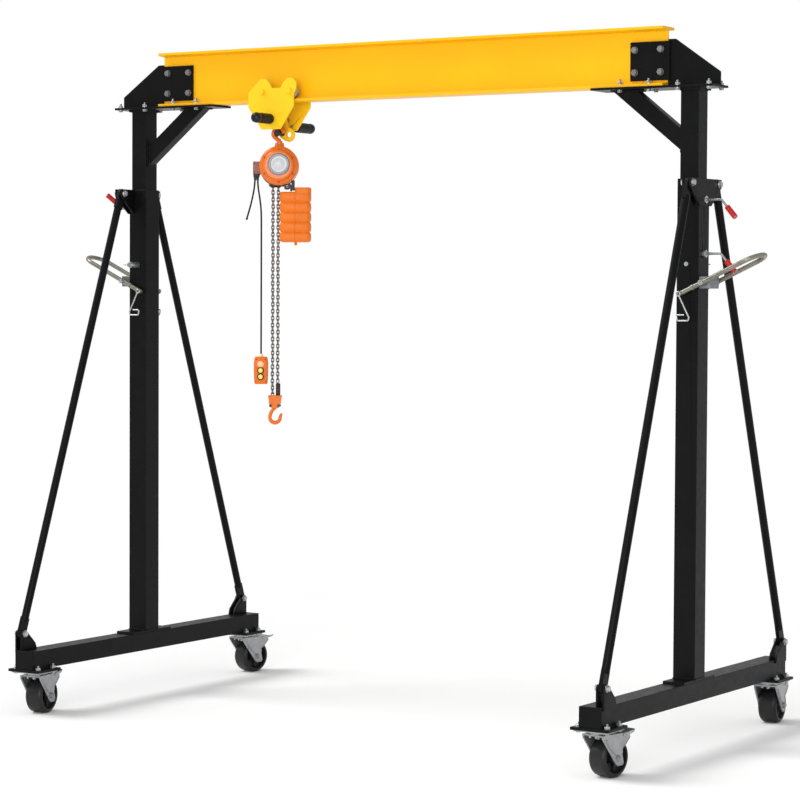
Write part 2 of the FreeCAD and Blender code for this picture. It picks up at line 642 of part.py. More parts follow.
def height_setting():
    for name, (side, height, angle) in CLAMPS.items():
        placed = put(gather(name + "_set", clamp_screw(name + "_part")), ("post_size / 2", "0", height),
                     (1, 0, 0), angle)
        node(name, in_leg(name, placed, side))
    leg_node("lock_pin", lock_pin())
    leg_node("jack_lever", jack_lever())
    leg_node("lift_link", lift_link())
    legs_node("jack_blocks", jack_block())
    legs_node("jack_bolts", jack_bolt())
    upper = clamp_nut("clamp_nut_upper", "clamp_upper")
    lower = clamp_nut("clamp_nut_lower", "clamp_lower")
    nuts = [in_leg("clamp_nut_left", upper, "left"), in_leg("clamp_nut_right", upper, "right"),
            in_leg("clamp_nut_right_lower", lower, "right")]
    node("clamp_nuts", gather("clamp_nuts", *nuts))


def lower_frame():
    legs_node("base_beams", base_beam())
    legs_node("end_caps", end_caps())
    legs_node("foot_plates", foot_plate())
    shell, holes = outer_post()
    lower_hole = rod("post_lower_clamp_hole", "clamp_screw + 1", "post_size", ("20", "0", "clamp_lower"), "X")
    node("left_post", in_leg("left_post", cut("outer_post_left", shell, *holes), "left"))
    node("right_post", in_leg("right_post", cut("outer_post_right", shell, *holes, lower_hole), "right"))
    legs_node("braces", brace())
    legs_node("brace_lugs", gather("brace_lugs_leg", *top_lugs(), *foot_lugs()))
    legs_node("brace_bolts", brace_bolts())
    legs_node("caster_mounts", caster_mounts())
    legs_node("caster_tops", caster_tops())


# ---------------------------------------------------------------- upper frame
def beam():
    """The I-beam."""
    w = "flange_width / 2"
    t = "flange_thickness"
    v = "web_thickness / 2"
    h = "beam_height"
    right = [(w, "0"), (w, t), (v, f"{t} + 5"), (v, f"{h} - {t} - 5"), (w, f"{h} - {t}"), (w, h)]
    left = [(f"-({x})", z) for x, z in reversed(right)]
    return plate("beam_profile", "YZ", right + left, "2 * beam_half", ("0", "0", "beam_bottom"))


def mast():
    """The inner tube of a leg, with its row of pin holes."""
    length = "mast_top - mast_bottom"
    middle = ("0", "0", "(mast_top + mast_bottom) / 2")
    shell = tube("mast_tube", ("mast_size", "mast_size", length), "mast_wall", middle, "Z")
    lowest = int((value("pin_height") - value("mast_bottom") - 40) // value("hole_pitch"))
    hole = "pin_diameter + 2 * pin_clearance"
    holes = [centred_rod(f"mast_hole_{k}", hole, "mast_size + 2", ("0", "0", f"pin_height - {k} * hole_pitch"), "Y")
             for k in range(lowest + 1)]
    return cut("mast_drilled", shell, *holes)


def head_plate():
    """The plate on the mast's top."""
    return centred_box("head_plate_block", ("head_size", "head_size", "head_sheet"),
                       ("0", "0", "mast_top + head_sheet / 2"))


def beam_bracket():
    """The long plate under the beam's end."""
    sizes = ("bracket_in + bracket_out", "bracket_width", "bracket_sheet")
    return centred_box("beam_bracket_block", sizes, ("(bracket_out - bracket_in) / 2", "0",
                                                    "beam_bottom - bracket_sheet / 2"))


def knee_brace():
    """The slanting tube between the mast and the bracket plate, with a pad at each end."""
    slope = math.tan(math.radians(value("knee_angle")))
    upright = value("knee_depth") / math.cos(math.radians(value("knee_angle")))
    level = value("knee_depth") / math.sin(math.radians(value("knee_angle")))
    top = value("beam_bottom - bracket_sheet - knee_pad")
    face = value("mast_size") / 2 + value("knee_pad")
    outer = value("knee_top_in") + level / 2
    inner = outer - level
    outline = [(-outer, top), (-inner, top), (-face, top - slope * (inner - face)),
               (-face, top - slope * (inner - face) - upright)]
    bar = plate("knee_bar", "XZ", outline, "knee_width", ("0", "0", "0"))
    top_pad = centred_box("knee_top_pad", (f"{level} + 24", "knee_width + 20", "knee_pad"),
                          ("-knee_top_in", "0", f"{top} + knee_pad / 2"))
    foot_pad = centred_box("knee_foot_pad", ("knee_pad", "knee_width + 20", f"{upright} + 20"),
                           (f"-{face} + knee_pad / 2", "0", f"{outline[2][1]} - {upright / 2}"))
    return fuse("knee_brace_whole", bar, top_pad, foot_pad)


def beam_covers():
    """The square plates bolted on both sides of the web at the beam's end."""
    sides = []
    sizes = ("cover_inner - cover_outer", "gusset_sheet", "cover_height")
    for end, sign in SIDES.items():
        middle = ("-(cover_inner + cover_outer) / 2", f"{sign} * (web_thickness + gusset_sheet) / 2",
                  "beam_bottom + cover_rise + cover_height / 2")
        sides.append(centred_box(f"beam_cover_{end}", sizes, middle))
    return gather("beam_cover_pair", *sides)


def gusset():
    """The upright plate between the cover plates and the bracket, in line with the beam's web."""
    outline = [("-beam_inset + 1", "0"), ("bracket_out", "0"), ("bracket_out", "54"), ("-87", "gusset_height"),
               ("-beam_inset + 1", "gusset_height")]
    return plate("gusset_plate", "XZ", outline, "web_thickness", ("0", "0", "beam_bottom"))


def upper_frame():
    node("beam", beam())
    leg_node("mast", mast())
    legs_node("head_brackets", fuse("head_bracket", head_plate(), beam_bracket()))
    legs_node("knee_braces", knee_brace())
    legs_node("gussets", gusset())
    legs_node("beam_covers", beam_covers())


# ---------------------------------------------------------------- trolley, in a frame under the beam
def trolley_plate(end):
    """A side plate with two lobes above for the rollers and a tapered tongue below."""
    half = "trolley_length / 2"
    left = "roller_shift - roller_spread"
    right = "roller_shift + roller_spread"
    outline = [(f"-{half}", "-22"), ("-52", "-trolley_drop"), ("52", "-trolley_drop"), (half, "-22"),
               (half, "28"), (f"{right} + 34", "58"), (f"{right} + 34", "trolley_top - 18"),
               (f"{right} + 14", "trolley_top"), (f"{right} - 16", "trolley_top"),
               (f"{right} - 38", "trolley_top - 20"), ("roller_shift + 24", "62"), ("roller_shift - 24", "62"),
               (f"{left} + 38", "trolley_top - 20"), (f"{left} + 16", "trolley_top"),
               (f"{left} - 14", "trolley_top"), (f"{left} - 38", "trolley_top - 22"), (f"-{half}", "44")]
    holes = [("0", "-spindle_drop", "spindle_diameter + 0.4")]
    if end == "rear":
        holes.append(("stub_shift", "-stub_drop", "spindle_diameter + 0.4"))
    y = f"{SIDES[end]} * (plate_inner + trolley_sheet / 2)"
    return plate(f"trolley_plate_{end}", "XZ", outline, "trolley_sheet", ("trolley_place", y, "beam_bottom"), holes)


def roller(name, x, sign):
    """A flanged roller on the beam's lower flange, with its stub axle through the side plate."""
    radius = "roller_diameter / 2"
    lift = f"beam_bottom + flange_thickness + flange_taper + {radius}"
    depth = "plate_inner - 0.5"
    outline = [("0", "30"), (radius, "30"), (radius, "flange_width / 2 + 2.5"),
               (f"{radius} + 5", "flange_width / 2 + 3"), (f"{radius} + 5", depth), ("8", depth),
               ("8", "plate_inner"), ("0", "plate_inner")]
    body = turned(name + "_body", outline, ("0", "0", "0"), "Y")
    angle = 0 if sign == "1" else 180
    placed = put(gather(name, body), (f"trolley_place + ({x})", "0", lift), (0, 0, 1), angle)
    return placed


def trolley():
    plates = [trolley_plate(end) for end in SIDES]
    node("trolley_side_plates", gather("trolley_side_plates", *plates))
    rollers = []
    for end, sign in SIDES.items():
        for k, x in enumerate(("roller_shift - roller_spread", "roller_shift + roller_spread")):
            rollers.append(roller(f"roller_{end}_{k}", x, sign))
    node("trolley_rollers", gather("trolley_rollers", *rollers))
    spindles = []
    grips = []
    front = ("front", "trolley_place", "beam_bottom - spindle_drop", "-spindle_reach + 10",
             "plate_inner + trolley_sheet + 4", "-spindle_reach", 10)
    rear = ("rear", "trolley_place + stub_shift", "beam_bottom - stub_drop", "plate_inner",
            "stub_reach - 10", "stub_reach - spindle_grip_length", -2)
    for end, x, level, bar_start, bar_end, grip_start, bore_shift in (front, rear):
        spindles.append(rod(f"spindle_{end}", "spindle_diameter", f"{bar_end} - ({bar_start})",
                            (x, bar_start, level), "Y"))
        outside = rod(f"grip_{end}_outside", "spindle_grip", "spindle_grip_length", (x, grip_start, level), "Y")
        bore = rod(f"grip_{end}_bore", "spindle_diameter + 0.2", "spindle_grip_length - 8",
                   (x, f"{grip_start} + {bore_shift}", level), "Y")
        grips.append(cut(f"spindle_grip_{end}", outside, bore))
    node("trolley_spindle", gather("trolley_spindle", *spindles))
    node("trolley_grips", gather("trolley_grips", *grips))
    trolley_hanger()


def trolley_hanger():
    """The yellow hanger on the spindle and the steel pin in it that the hoist's hook hangs on."""
    drop = "pin_drop - spindle_drop"
    outline = [("-16", "14"), ("16", "14"), ("24", f"-({drop}) + 27"), ("44", f"-({drop}) + 24"),
               ("58", f"-({drop}) + 12"), ("64", f"-({drop}) - 6"), ("59", f"-({drop}) - 24"),
               ("46", f"-({drop}) - 36"), ("30", f"-({drop}) - 39"), ("12", f"-({drop}) - 33"),
               ("-10", f"-({drop}) - 20"), ("-18", f"-({drop}) - 8")]
    holes = [("0", "0", "spindle_diameter + 0.4"), ("0", f"-({drop})", "hang_pin + 0.4"),
             ("34", f"-({drop}) - 6", "27")]
    hanger = plate("hanger_plate", "XZ", outline, "14",
                   ("trolley_place", "hanger_place", "beam_bottom - spindle_drop"), holes)
    node("trolley_hangers", hanger)
    head_start = "hanger_place + 8"
    tip_start = "-hang_pin_front"
    pin = rod("suspension_bar", "hang_pin", "hanger_place + 10 + hang_pin_front",
              ("trolley_place", tip_start, "hang_height"), "Y")
    heads = [rod(f"suspension_head_{k}", "33", "5", ("trolley_place", y, "hang_height"), "Y")
             for k, y in enumerate((head_start, tip_start))]
    node("suspension_pin", fuse("suspension_whole", pin, *heads))


# ---------------------------------------------------------------- hoist, in a frame on its suspension
def at_hoist(name, piece, yawed=True):
    """A piece of the hoist's own frame, put under the trolley and turned with the hoist."""
    return put(gather(name, piece), ("trolley_place", "0", "hang_height"), (0, 0, 1), "hoist_yaw" if yawed else 0)


def top_hook():
    """The hook over the suspension pin, open to the right, with its shank down in the swivel boss."""
    r = "hang_pin / 2 + 10.4"
    left = "-hook_throat"
    boss = "hoist_boss_top"
    places = [("0", "0", f"-{boss} + 8"), (left, "0", "-12"), (left, "0", r), (r, "0", r), (r, "0", "-1")]
    hook = bent_bar("top_hook_bar", places, ["14", f"{r} + 4", f"{r} - 0.1"], "20")
    collar = rod("top_hook_collar", "26", "9", ("0", "0", f"-{boss} + 0.3"), "Z")
    shank = rod("top_hook_shank", "14", "20", ("0", "0", f"-{boss} - 12"), "Z")
    return fuse("top_hook_whole", hook, collar, shank)


def hoist_housing():
    """The round housing, turned about a level axis, with a dished front."""
    r = "hoist_diameter / 2"
    half = "hoist_depth / 2"
    outline = [("0", f"-{half}"), (f"{r} - 27", f"-{half}"), (f"{r} - 19", f"-{half} + 6"),
               (f"{r} - 17", f"-{half} + 22"), (f"{r} - 5", f"-{half} + 28"), (r, f"-{half} + 34"),
               (r, f"{half} - 30"), (f"{r} - 6", f"{half} - 26"), (f"{r} - 24", half), ("0", half)]
    drum = turned("housing_drum", outline, ("0", "0", "-hoist_drop"), "Y")
    boss = rod("housing_boss", "40", "30", ("0", "0", "-hoist_boss_top - 30"), "Z")
    bore = rod("housing_bore", "14.8", "14", ("0", "0", "-hoist_boss_top - 13"), "Z")
    guide = box("chain_guide", ("60", "44", "28"), ("chain_x - 30", "-22", "-guide_bottom"))
    return cut("housing", fuse("housing_whole", drum, boss, guide), bore)


def hoist():
    node("hoist_hook", at_hoist("hoist_hook", top_hook(), False))
    node("hoist_housing", at_hoist("hoist_housing", hoist_housing()))
    face = "-hoist_depth / 2"
    dial = rod("dial_disc", "dial_diameter", "7", ("3", f"{face} - 7", "-hoist_drop + 5"), "Y")
    node("hoist_dial", at_hoist("hoist_dial", dial))
    half = "hoist_diameter / 2"
    terminal = box("terminal_body", ("46", "60", "56"), (f"-{half} - 31", "-30", "-hoist_drop - 37"))
    space = rod("terminal_space", "hoist_diameter + 0.4", "80", ("0", "-40", "-hoist_drop"), "Y")
    node("terminal_box", at_hoist("terminal_box", cut("terminal_whole", terminal, space)))
    node("chain_container", at_hoist("chain_container", chain_container()))
    falls = []
    for side, sign in (("left", -1), ("right", 1)):
        x = f"chain_x + {sign} * chain_spread / 2"
        falls.append(box(f"fall_{side}", ("chain_width", "chain_width", "block_top - guide_bottom"),
                         (f"{x} - chain_width / 2", "-chain_width / 2", "-block_top")))
    node("load_chain", at_hoist("load_chain", gather("falls", *falls)))
    node("hook_block", at_hoist("hook_block", hook_block()))
    node("load_hook", at_hoist("load_hook", load_hook()))
    pendant()


def chain_container():
    """The box that stores the slack chain, bulged in five bands, open at the top."""
    bands = []
    for k in range(5):
        z = f"-container_bottom + {k} * container_band"
        bands.append(box(f"container_band_{k}", ("141", "92", "container_band - 2.4"), ("4", "-46", z)))
        bands.append(box(f"container_waist_{k}", ("135", "86", "container_band"), ("7", "-43", z)))
    raised = box("container_raised", ("71", "92", "container_raise + 1"),
                 ("74", "-46", "-container_bottom + 5 * container_band - 1"))
    bands.append(raised)
    hollow = box("container_hollow", ("129", "80", "300"), ("10", "-40", "-container_bottom + 4"))
    hanger = box("container_neck", ("14", "26", "130"),
                 ("56", "-13", "-container_bottom + 5 * container_band - 60"))
    space = rod("container_space", "hoist_diameter + 0.4", "120", ("0", "-60", "-hoist_drop"), "Y")
    walls = cut("container_open", fuse("container_whole", *bands), hollow)
    arm = box("container_arm", ("10", "92", "14"), ("58", "-46", "-container_bottom + 5 * container_band - 60"))
    neck = cut("container_neck_cut", fuse("container_neck_whole", hanger, arm), space)
    knob = rod("container_knob", "16", "20", ("74", "0", "-container_bottom - 20"))
    return fuse("container_shell", walls, neck, knob)


def hook_block():
    """The tapered block that both chain falls end in."""
    half = "block_width / 2"
    outline = [(f"-{half}", "0"), (f"{half}", "0"), (f"{half} - 5", "-38"), ("14", "-block_height"),
               ("-14", "-block_height"), (f"-{half} + 5", "-38")]
    body = plate("block_body", "XZ", outline, "44", ("chain_x", "0", "-block_top"))
    bore = rod("block_bore", "16.6", "40", ("chain_x", "0", "-block_top - block_height - 2"), "Z")
    return cut("block_whole", body, bore)


def load_hook():
    """The swivelling load hook: a shank in the block, a bowl and a tip that leans out."""
    r = 24
    base = "-hook_drop + 8"
    places = [("chain_x", "0", "-block_top - block_height + 18"), ("chain_x", "0", "-block_top - block_height - 10"),
              (f"chain_x - {r}", "0", f"{base} + 39"), (f"chain_x - {r}", "0", base),
              (f"chain_x + {r}", "0", base), (f"chain_x + {r}", "0", f"{base} + 29"),
              (f"chain_x + {r} + 8", "0", f"{base} + 40")]
    return bent_bar("load_hook_bar", places, ["10", "10", f"{r} - 0.1", f"{r} - 0.1", "6"], "16")


PENDANT_ROUTE = [(-100, 0, -187), (-100, 0, -235), (-91, 0, -290), (-83.5, 0, -345), (-82, 0, -420),
                 (-82, 0, -1025)]
LEAD_ROUTE = [(-112, 0, -187), (-112, 0, -225), (-120, 0, -280), (-134, 0, -340), (-151, 0, -397)]


def cord(name, route):
    """A round cable along a route of hand-set points, its arcs as large as the runs allow."""
    corners = [FreeCAD.Vector(*place) for place in route]
    bends = []
    for before, corner, after in zip(corners, corners[1:], corners[2:]):
        turn = math.pi - (before - corner).getAngle(after - corner)
        shorter = min((corner - before).Length, (after - corner).Length)
        bends.append(0.45 * shorter / math.tan(turn / 2))
    print(name, "radii", [round(bend) for bend in bends], "length", round(path_of(corners, bends).Length))
    return bent_bar(name, route, bends, "cable_diameter")


def pendant():
    """The push-button box on its cable, and the power lead beside it."""
    body = box("pendant_body", ("pendant_width", "44", "pendant_length"),
               ("pendant_x - pendant_width / 2", "-22", "-pendant_top - pendant_length"))
    buttons = [rod(f"pendant_button_{k}", "24", "8", ("pendant_x", "-29", f"-pendant_top - {z}"), "Y")
               for k, z in enumerate((36, 64, 92))]
    node("pendant", at_hoist("pendant", fuse("pendant_whole", body, *buttons)))
    node("pendant_cable", at_hoist("pendant_cable", cord("pendant_cord", PENDANT_ROUTE)))
    node("power_lead", at_hoist("power_lead", cord("power_cord", LEAD_ROUTE)))


lower_frame()
casters()
height_setting()
upper_frame()
trolley()
hoist()


# ---------------------------------------------------------------- check and write
def write_parts():
    """Recomputes the document, checks every object and writes each sub-part to its own file."""
    doc.recompute()
    for piece in doc.Objects:
        bad = {"Invalid", "Error"} & set(piece.State)
        if bad:
            raise RuntimeError(f"{piece.Label} is {sorted(bad)}")
    for name, piece in nodes.items():
        shape = piece.Shape
        if shape.isNull() or not shape.isValid() or not shape.Solids:
            raise RuntimeError(f"{name} has no valid solid")
    os.makedirs("parts", exist_ok=True)
    for name, piece in nodes.items():
        piece.Shape.exportStep(f"parts/{name}.step")
    print(len(nodes), "sub-parts written")


write_parts()
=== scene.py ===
"""Looks of a mobile gantry crane with a chain hoist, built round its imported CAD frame.

Everything is in metres in the CAD's own frame: X along the beam, Y towards the rear, Z up.
"""
import json
import math
import random

import bmesh
import bpy
from mathutils import Matrix, Vector


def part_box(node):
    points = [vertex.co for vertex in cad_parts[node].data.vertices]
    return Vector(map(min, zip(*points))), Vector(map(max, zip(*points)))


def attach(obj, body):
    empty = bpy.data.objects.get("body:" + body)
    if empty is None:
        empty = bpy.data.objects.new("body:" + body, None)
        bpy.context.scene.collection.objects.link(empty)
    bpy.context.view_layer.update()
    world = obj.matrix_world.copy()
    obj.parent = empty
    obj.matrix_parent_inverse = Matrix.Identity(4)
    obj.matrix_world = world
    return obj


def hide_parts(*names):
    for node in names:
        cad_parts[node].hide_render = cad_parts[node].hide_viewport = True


MM = 0.001
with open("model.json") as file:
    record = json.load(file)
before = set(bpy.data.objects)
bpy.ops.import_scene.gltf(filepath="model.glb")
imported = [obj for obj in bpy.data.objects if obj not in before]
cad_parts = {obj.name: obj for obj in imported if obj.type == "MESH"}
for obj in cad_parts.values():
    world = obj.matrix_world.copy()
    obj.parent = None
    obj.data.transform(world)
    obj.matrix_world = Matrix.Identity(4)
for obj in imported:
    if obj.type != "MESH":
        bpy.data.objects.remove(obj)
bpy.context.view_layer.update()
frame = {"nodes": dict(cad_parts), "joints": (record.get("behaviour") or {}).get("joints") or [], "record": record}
chance = random.Random(7)

# ---------------------------------------------------------------- camera
CAMERA_PLACE = Vector((6.289, -9.995, 1.908))
CAMERA_YAW, CAMERA_PITCH, CAMERA_ROLL = (math.radians(angle) for angle in (32.18, -2.30, 0.29))
FOCAL_PIXELS, FRAME_PIXELS, SENSOR = 2644, 800, 36


def make_camera():
    ahead = Vector((-math.sin(CAMERA_YAW) * math.cos(CAMERA_PITCH),
                    math.cos(CAMERA_YAW) * math.cos(CAMERA_PITCH), math.sin(CAMERA_PITCH)))
    level = Vector((math.cos(CAMERA_YAW), math.sin(CAMERA_YAW), 0))
    above = level.cross(ahead)
    right = level * math.cos(CAMERA_ROLL) + above * math.sin(CAMERA_ROLL)
    up = above * math.cos(CAMERA_ROLL) - level * math.sin(CAMERA_ROLL)
    data = bpy.data.cameras.new("camera")
    data.sensor_width = SENSOR
    data.lens = FOCAL_PIXELS / FRAME_PIXELS * SENSOR
    data.clip_end = 200
    camera = bpy.data.objects.new("camera", data)
    bpy.context.scene.collection.objects.link(camera)
    turn = Matrix((right, up, -ahead)).transposed().to_4x4()
    camera.matrix_world = Matrix.Translation(CAMERA_PLACE) @ turn
    bpy.context.scene.camera = camera


make_camera()

# ---------------------------------------------------------------- where things are
JOINTS = {joint["name"]: joint for joint in frame["joints"]}
HOIST_YAW = math.radians(30)
SWIVEL = Vector(JOINTS["hoist_swivel"]["pos_m"])
HOIST_DROP = 45 * MM
HOIST = Matrix.Translation(SWIVEL + Vector((0, 0, HOIST_DROP))) @ Matrix.Rotation(HOIST_YAW, 4, "Z")
LEGS = {"left": -1, "right": 1}
LEG_PLACE = (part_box("right_post")[0].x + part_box("right_post")[1].x) / 2
TO_Y = Matrix.Rotation(math.radians(-90), 4, "X")
TO_FRONT = Matrix.Rotation(math.radians(90), 4, "X")
TO_X = Matrix.Rotation(math.radians(90), 4, "Y")


def at(*place):
    """A shift by millimetres."""
    return Matrix.Translation(Vector(place) * MM)


def leg_matrix(side):
    """A leg's own frame: x away from the crane's middle."""
    turn = Matrix.Identity(4) if side == "right" else Matrix.Rotation(math.pi, 4, "Z")
    return Matrix.Translation((LEGS[side] * LEG_PLACE, 0, 0)) @ turn


# ---------------------------------------------------------------- cables
CABLE = 8 * MM
PENDANT_ROUTE = [(-100, 0, -187), (-100, 0, -235), (-91, 0, -290), (-83.5, 0, -345), (-82, 0, -420),
                 (-82, 0, -1025)]
LEAD_ROUTE = [(-112, 0, -187), (-112, 0, -225), (-120, 0, -280), (-134, 0, -340), (-151, 0, -397)]


def cable(name, route):
    """A smooth cable with the route's points as its control points, which carry its radius."""
    data = bpy.data.curves.new(name, "CURVE")
    data.dimensions = "3D"
    data.bevel_depth = 1.0
    data.bevel_resolution = 4
    data.resolution_u = 24
    data.use_fill_caps = True
    spline = data.splines.new("NURBS")
    spline.points.add(len(route) - 1)
    for control, place in zip(spline.points, route):
        control.co = (HOIST @ (Vector(place) * MM)).to_4d()
        control.radius = CABLE / 2
    spline.order_u = 3
    spline.use_endpoint_u = True
    piece = bpy.data.objects.new(name, data)
    bpy.context.scene.collection.objects.link(piece)
    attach(piece, "hoist")
    return piece


pendant_cable = cable("pendant_cord", PENDANT_ROUTE)
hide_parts("pendant_cable")
power_lead = cable("power_cord", LEAD_ROUTE)
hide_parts("power_lead")


# ---------------------------------------------------------------- materials
class Nodes:
    """A short hand for wiring one material."""

    def __init__(self, name):
        self.material = bpy.data.materials.new(name)
        self.material.use_nodes = True
        self.tree = self.material.node_tree
        self.shader = self.tree.nodes["Principled BSDF"]
        self.coords = self.add("ShaderNodeTexCoord").outputs["Object"]

    def add(self, kind, inputs=(), **settings):
        node = self.tree.nodes.new(kind)
        for key, value in settings.items():
            setattr(node, key, value)
        for key, value in dict(inputs).items():
            if isinstance(value, bpy.types.NodeSocket):
                self.tree.links.new(value, node.inputs[key])
            else:
                node.inputs[key].default_value = value
        return node

    def link(self, output, socket):
        self.tree.links.new(output, self.shader.inputs[socket])

    def noise(self, scale, detail=3.0, stretch=None, roughness=0.55):
        vector = self.coords
        if stretch:
            vector = self.add("ShaderNodeMapping", {"Vector": vector, "Scale": stretch}).outputs[0]
        sizes = {"Vector": vector, "Scale": scale, "Detail": detail, "Roughness": roughness}
        return self.add("ShaderNodeTexNoise", sizes).outputs["Fac"]

    def span(self, value, low, high, to_low=0.0, to_high=1.0):
        sizes = {"Value": value, "From Min": low, "From Max": high, "To Min": to_low, "To Max": to_high}
        return self.add("ShaderNodeMapRange", sizes).outputs["Result"]

    def times(self, a, b):
        return self.add("ShaderNodeMath", {0: a, 1: b}, operation="MULTIPLY").outputs[0]

    def mix(self, factor, a, b):
        node = self.add("ShaderNodeMix", data_type="RGBA")
        for socket, value in ((node.inputs[0], factor), (node.inputs[6], a), (node.inputs[7], b)):
            if isinstance(value, bpy.types.NodeSocket):
                self.tree.links.new(value, socket)
            else:
                socket.default_value = value
        return node.outputs[2]

    def edges(self, radius, strength):
        """Nought on flat faces, rising to one on outer edges, broken up by noise."""
        rounded = self.add("ShaderNodeBevel", {"Radius": radius}, samples=4).outputs["Normal"]
        plain = self.add("ShaderNodeNewGeometry").outputs["Normal"]
        dot = self.add("ShaderNodeVectorMath", {0: rounded, 1: plain},
                       operation="DOT_PRODUCT").outputs["Value"]
        edge = self.span(dot, 0.99, 0.86)
        return self.times(edge, self.span(self.noise(45, 5), 0.62 - 0.2 * strength, 0.75))


def shade(colour, factor):
    return tuple(min(1.0, channel * factor) for channel in colour) + (1.0,)


def finish(name, colour, rough, metallic=0.0, specular=0.5, vary=0.1, patch=6.0, relief=0.12, grain=450,
           relief_depth=0.0006, coat=0.0, worn=None, wear=0.4, stretch=None, dust=None):
    """A surface with colour patches, an uneven gloss, a fine relief and, if asked, worn edges."""
    nodes = Nodes(name)
    shader = nodes.shader
    shader.inputs["Metallic"].default_value = metallic
    shader.inputs["Specular IOR Level"].default_value = specular
    shader.inputs["Coat Weight"].default_value = coat
    shader.inputs["Coat Roughness"].default_value = 0.12
    broad = nodes.noise(patch, 4, stretch)
    mid = nodes.noise(patch * 7, 3, stretch)
    tone = nodes.mix(nodes.span(broad, 0.3, 0.7), shade(colour, 1 - vary), shade(colour, 1 + vary))
    tone = nodes.mix(nodes.span(mid, 0.45, 0.8, 0, 0.35), tone, shade(colour, 1 - 1.6 * vary))
    if dust:
        tone = nodes.mix(nodes.span(nodes.noise(patch * 2.3, 6), 0.52, 0.85, 0, 0.5), tone, dust + (1.0,))
    if worn:
        tone = nodes.mix(nodes.edges(0.003, wear), tone, worn + (1.0,))
    nodes.link(tone, "Base Color")
    nodes.link(nodes.span(mid, 0.25, 0.75, rough * 0.82, min(1.0, rough * 1.2)), "Roughness")
    height = nodes.noise(grain, 3, stretch)
    bump = nodes.add("ShaderNodeBump", {"Strength": relief, "Distance": relief_depth, "Height": height})
    nodes.link(bump.outputs["Normal"], "Normal")
    return nodes.material


ORANGE = (0.70, 0.145, 0.006)
SURFACES = {
    "frame_paint": ((0.0038, 0.0039, 0.004), 0.36, {"specular": 0.10, "vary": 0.16, "relief": 0.3,
        "grain": 700, "relief_depth": 0.0004, "worn": (0.04, 0.04, 0.041),
        "dust": (0.008, 0.008, 0.0078)}),
    "beam_paint": ((0.88, 0.46, 0.003), 0.36, {"specular": 0.2, "vary": 0.035, "patch": 2.5,
        "relief": 0.22, "grain": 380, "worn": (0.8, 0.36, 0.02), "wear": 0.3}),
    "trolley_paint": ((0.88, 0.56, 0.012), 0.38, {"specular": 0.22, "vary": 0.04, "relief": 0.25,
        "grain": 320, "worn": (0.70, 0.34, 0.03)}),
    "hoist_enamel": (ORANGE, 0.3, {"specular": 0.3, "vary": 0.05, "patch": 14, "relief": 0.3,
        "grain": 260, "coat": 0.25, "worn": (0.62, 0.10, 0.01)}),
    "hook_paint": ((0.74, 0.16, 0.012), 0.4, {"specular": 0.25, "vary": 0.09, "patch": 25,
        "relief": 0.5, "grain": 300, "worn": (0.42, 0.15, 0.06)}),
    "dial_trim": ((0.20, 0.205, 0.22), 0.35, {"metallic": 0.5, "vary": 0.08, "patch": 30}),
    "terminal_plastic": ((0.24, 0.075, 0.055), 0.5, {"vary": 0.1, "patch": 20, "relief": 0.35,
        "grain": 900}),
    "container_plastic": ((0.76, 0.165, 0.008), 0.4, {"specular": 0.22, "vary": 0.05, "patch": 12,
        "relief": 0.3, "grain": 520}),
    "pendant_plastic": ((0.74, 0.15, 0.010), 0.42, {"specular": 0.22, "vary": 0.06, "patch": 30,
        "relief": 0.35, "grain": 800}),
    "grip_black": ((0.005, 0.005, 0.0055), 0.34, {"specular": 0.3, "vary": 0.15, "patch": 20,
        "relief": 0.3, "grain": 700}),
    "cable_rubber": ((0.005, 0.005, 0.005), 0.5, {"specular": 0.2, "vary": 0.15, "patch": 40,
        "relief": 0.4, "grain": 900}),
    "wheel_rubber": ((0.010, 0.010, 0.0105), 0.4, {"specular": 0.3, "vary": 0.18, "patch": 14,
        "relief": 0.35, "grain": 420, "dust": (0.02, 0.0195, 0.019)}),
    "caster_zinc": ((0.36, 0.365, 0.38), 0.38, {"metallic": 0.75, "vary": 0.12, "patch": 28,
        "relief": 0.3, "grain": 500, "worn": (0.66, 0.67, 0.68)}),
    "pedal_zinc": ((0.44, 0.45, 0.46), 0.36, {"metallic": 0.7, "vary": 0.12, "patch": 30,
        "relief": 0.3, "grain": 500}),
    "bright_zinc": ((0.47, 0.475, 0.485), 0.28, {"metallic": 0.85, "vary": 0.1, "patch": 50,
        "relief": 0.2, "grain": 900}),
    "block_zinc": ((0.22, 0.225, 0.235), 0.42, {"metallic": 0.7, "vary": 0.14, "patch": 35,
        "relief": 0.35, "grain": 600}),
    "clamp_steel": ((0.38, 0.385, 0.39), 0.3, {"metallic": 0.85, "vary": 0.1, "patch": 50,
        "relief": 0.25, "grain": 900}),
    "yellow_zinc": ((0.25, 0.237, 0.195), 0.33, {"metallic": 0.75, "vary": 0.16, "patch": 18,
        "relief": 0.25, "grain": 500}),
    "roller_steel": ((0.42, 0.41, 0.40), 0.34, {"metallic": 0.85, "vary": 0.14, "patch": 30,
        "relief": 0.25, "grain": 800}),
    "chain_steel": ((0.17, 0.145, 0.13), 0.4, {"metallic": 0.6, "vary": 0.2, "patch": 60,
        "relief": 0.3, "grain": 900}),
}
FINISHES = {name: finish(name, colour, rough, **more) for name, (colour, rough, more) in SURFACES.items()}
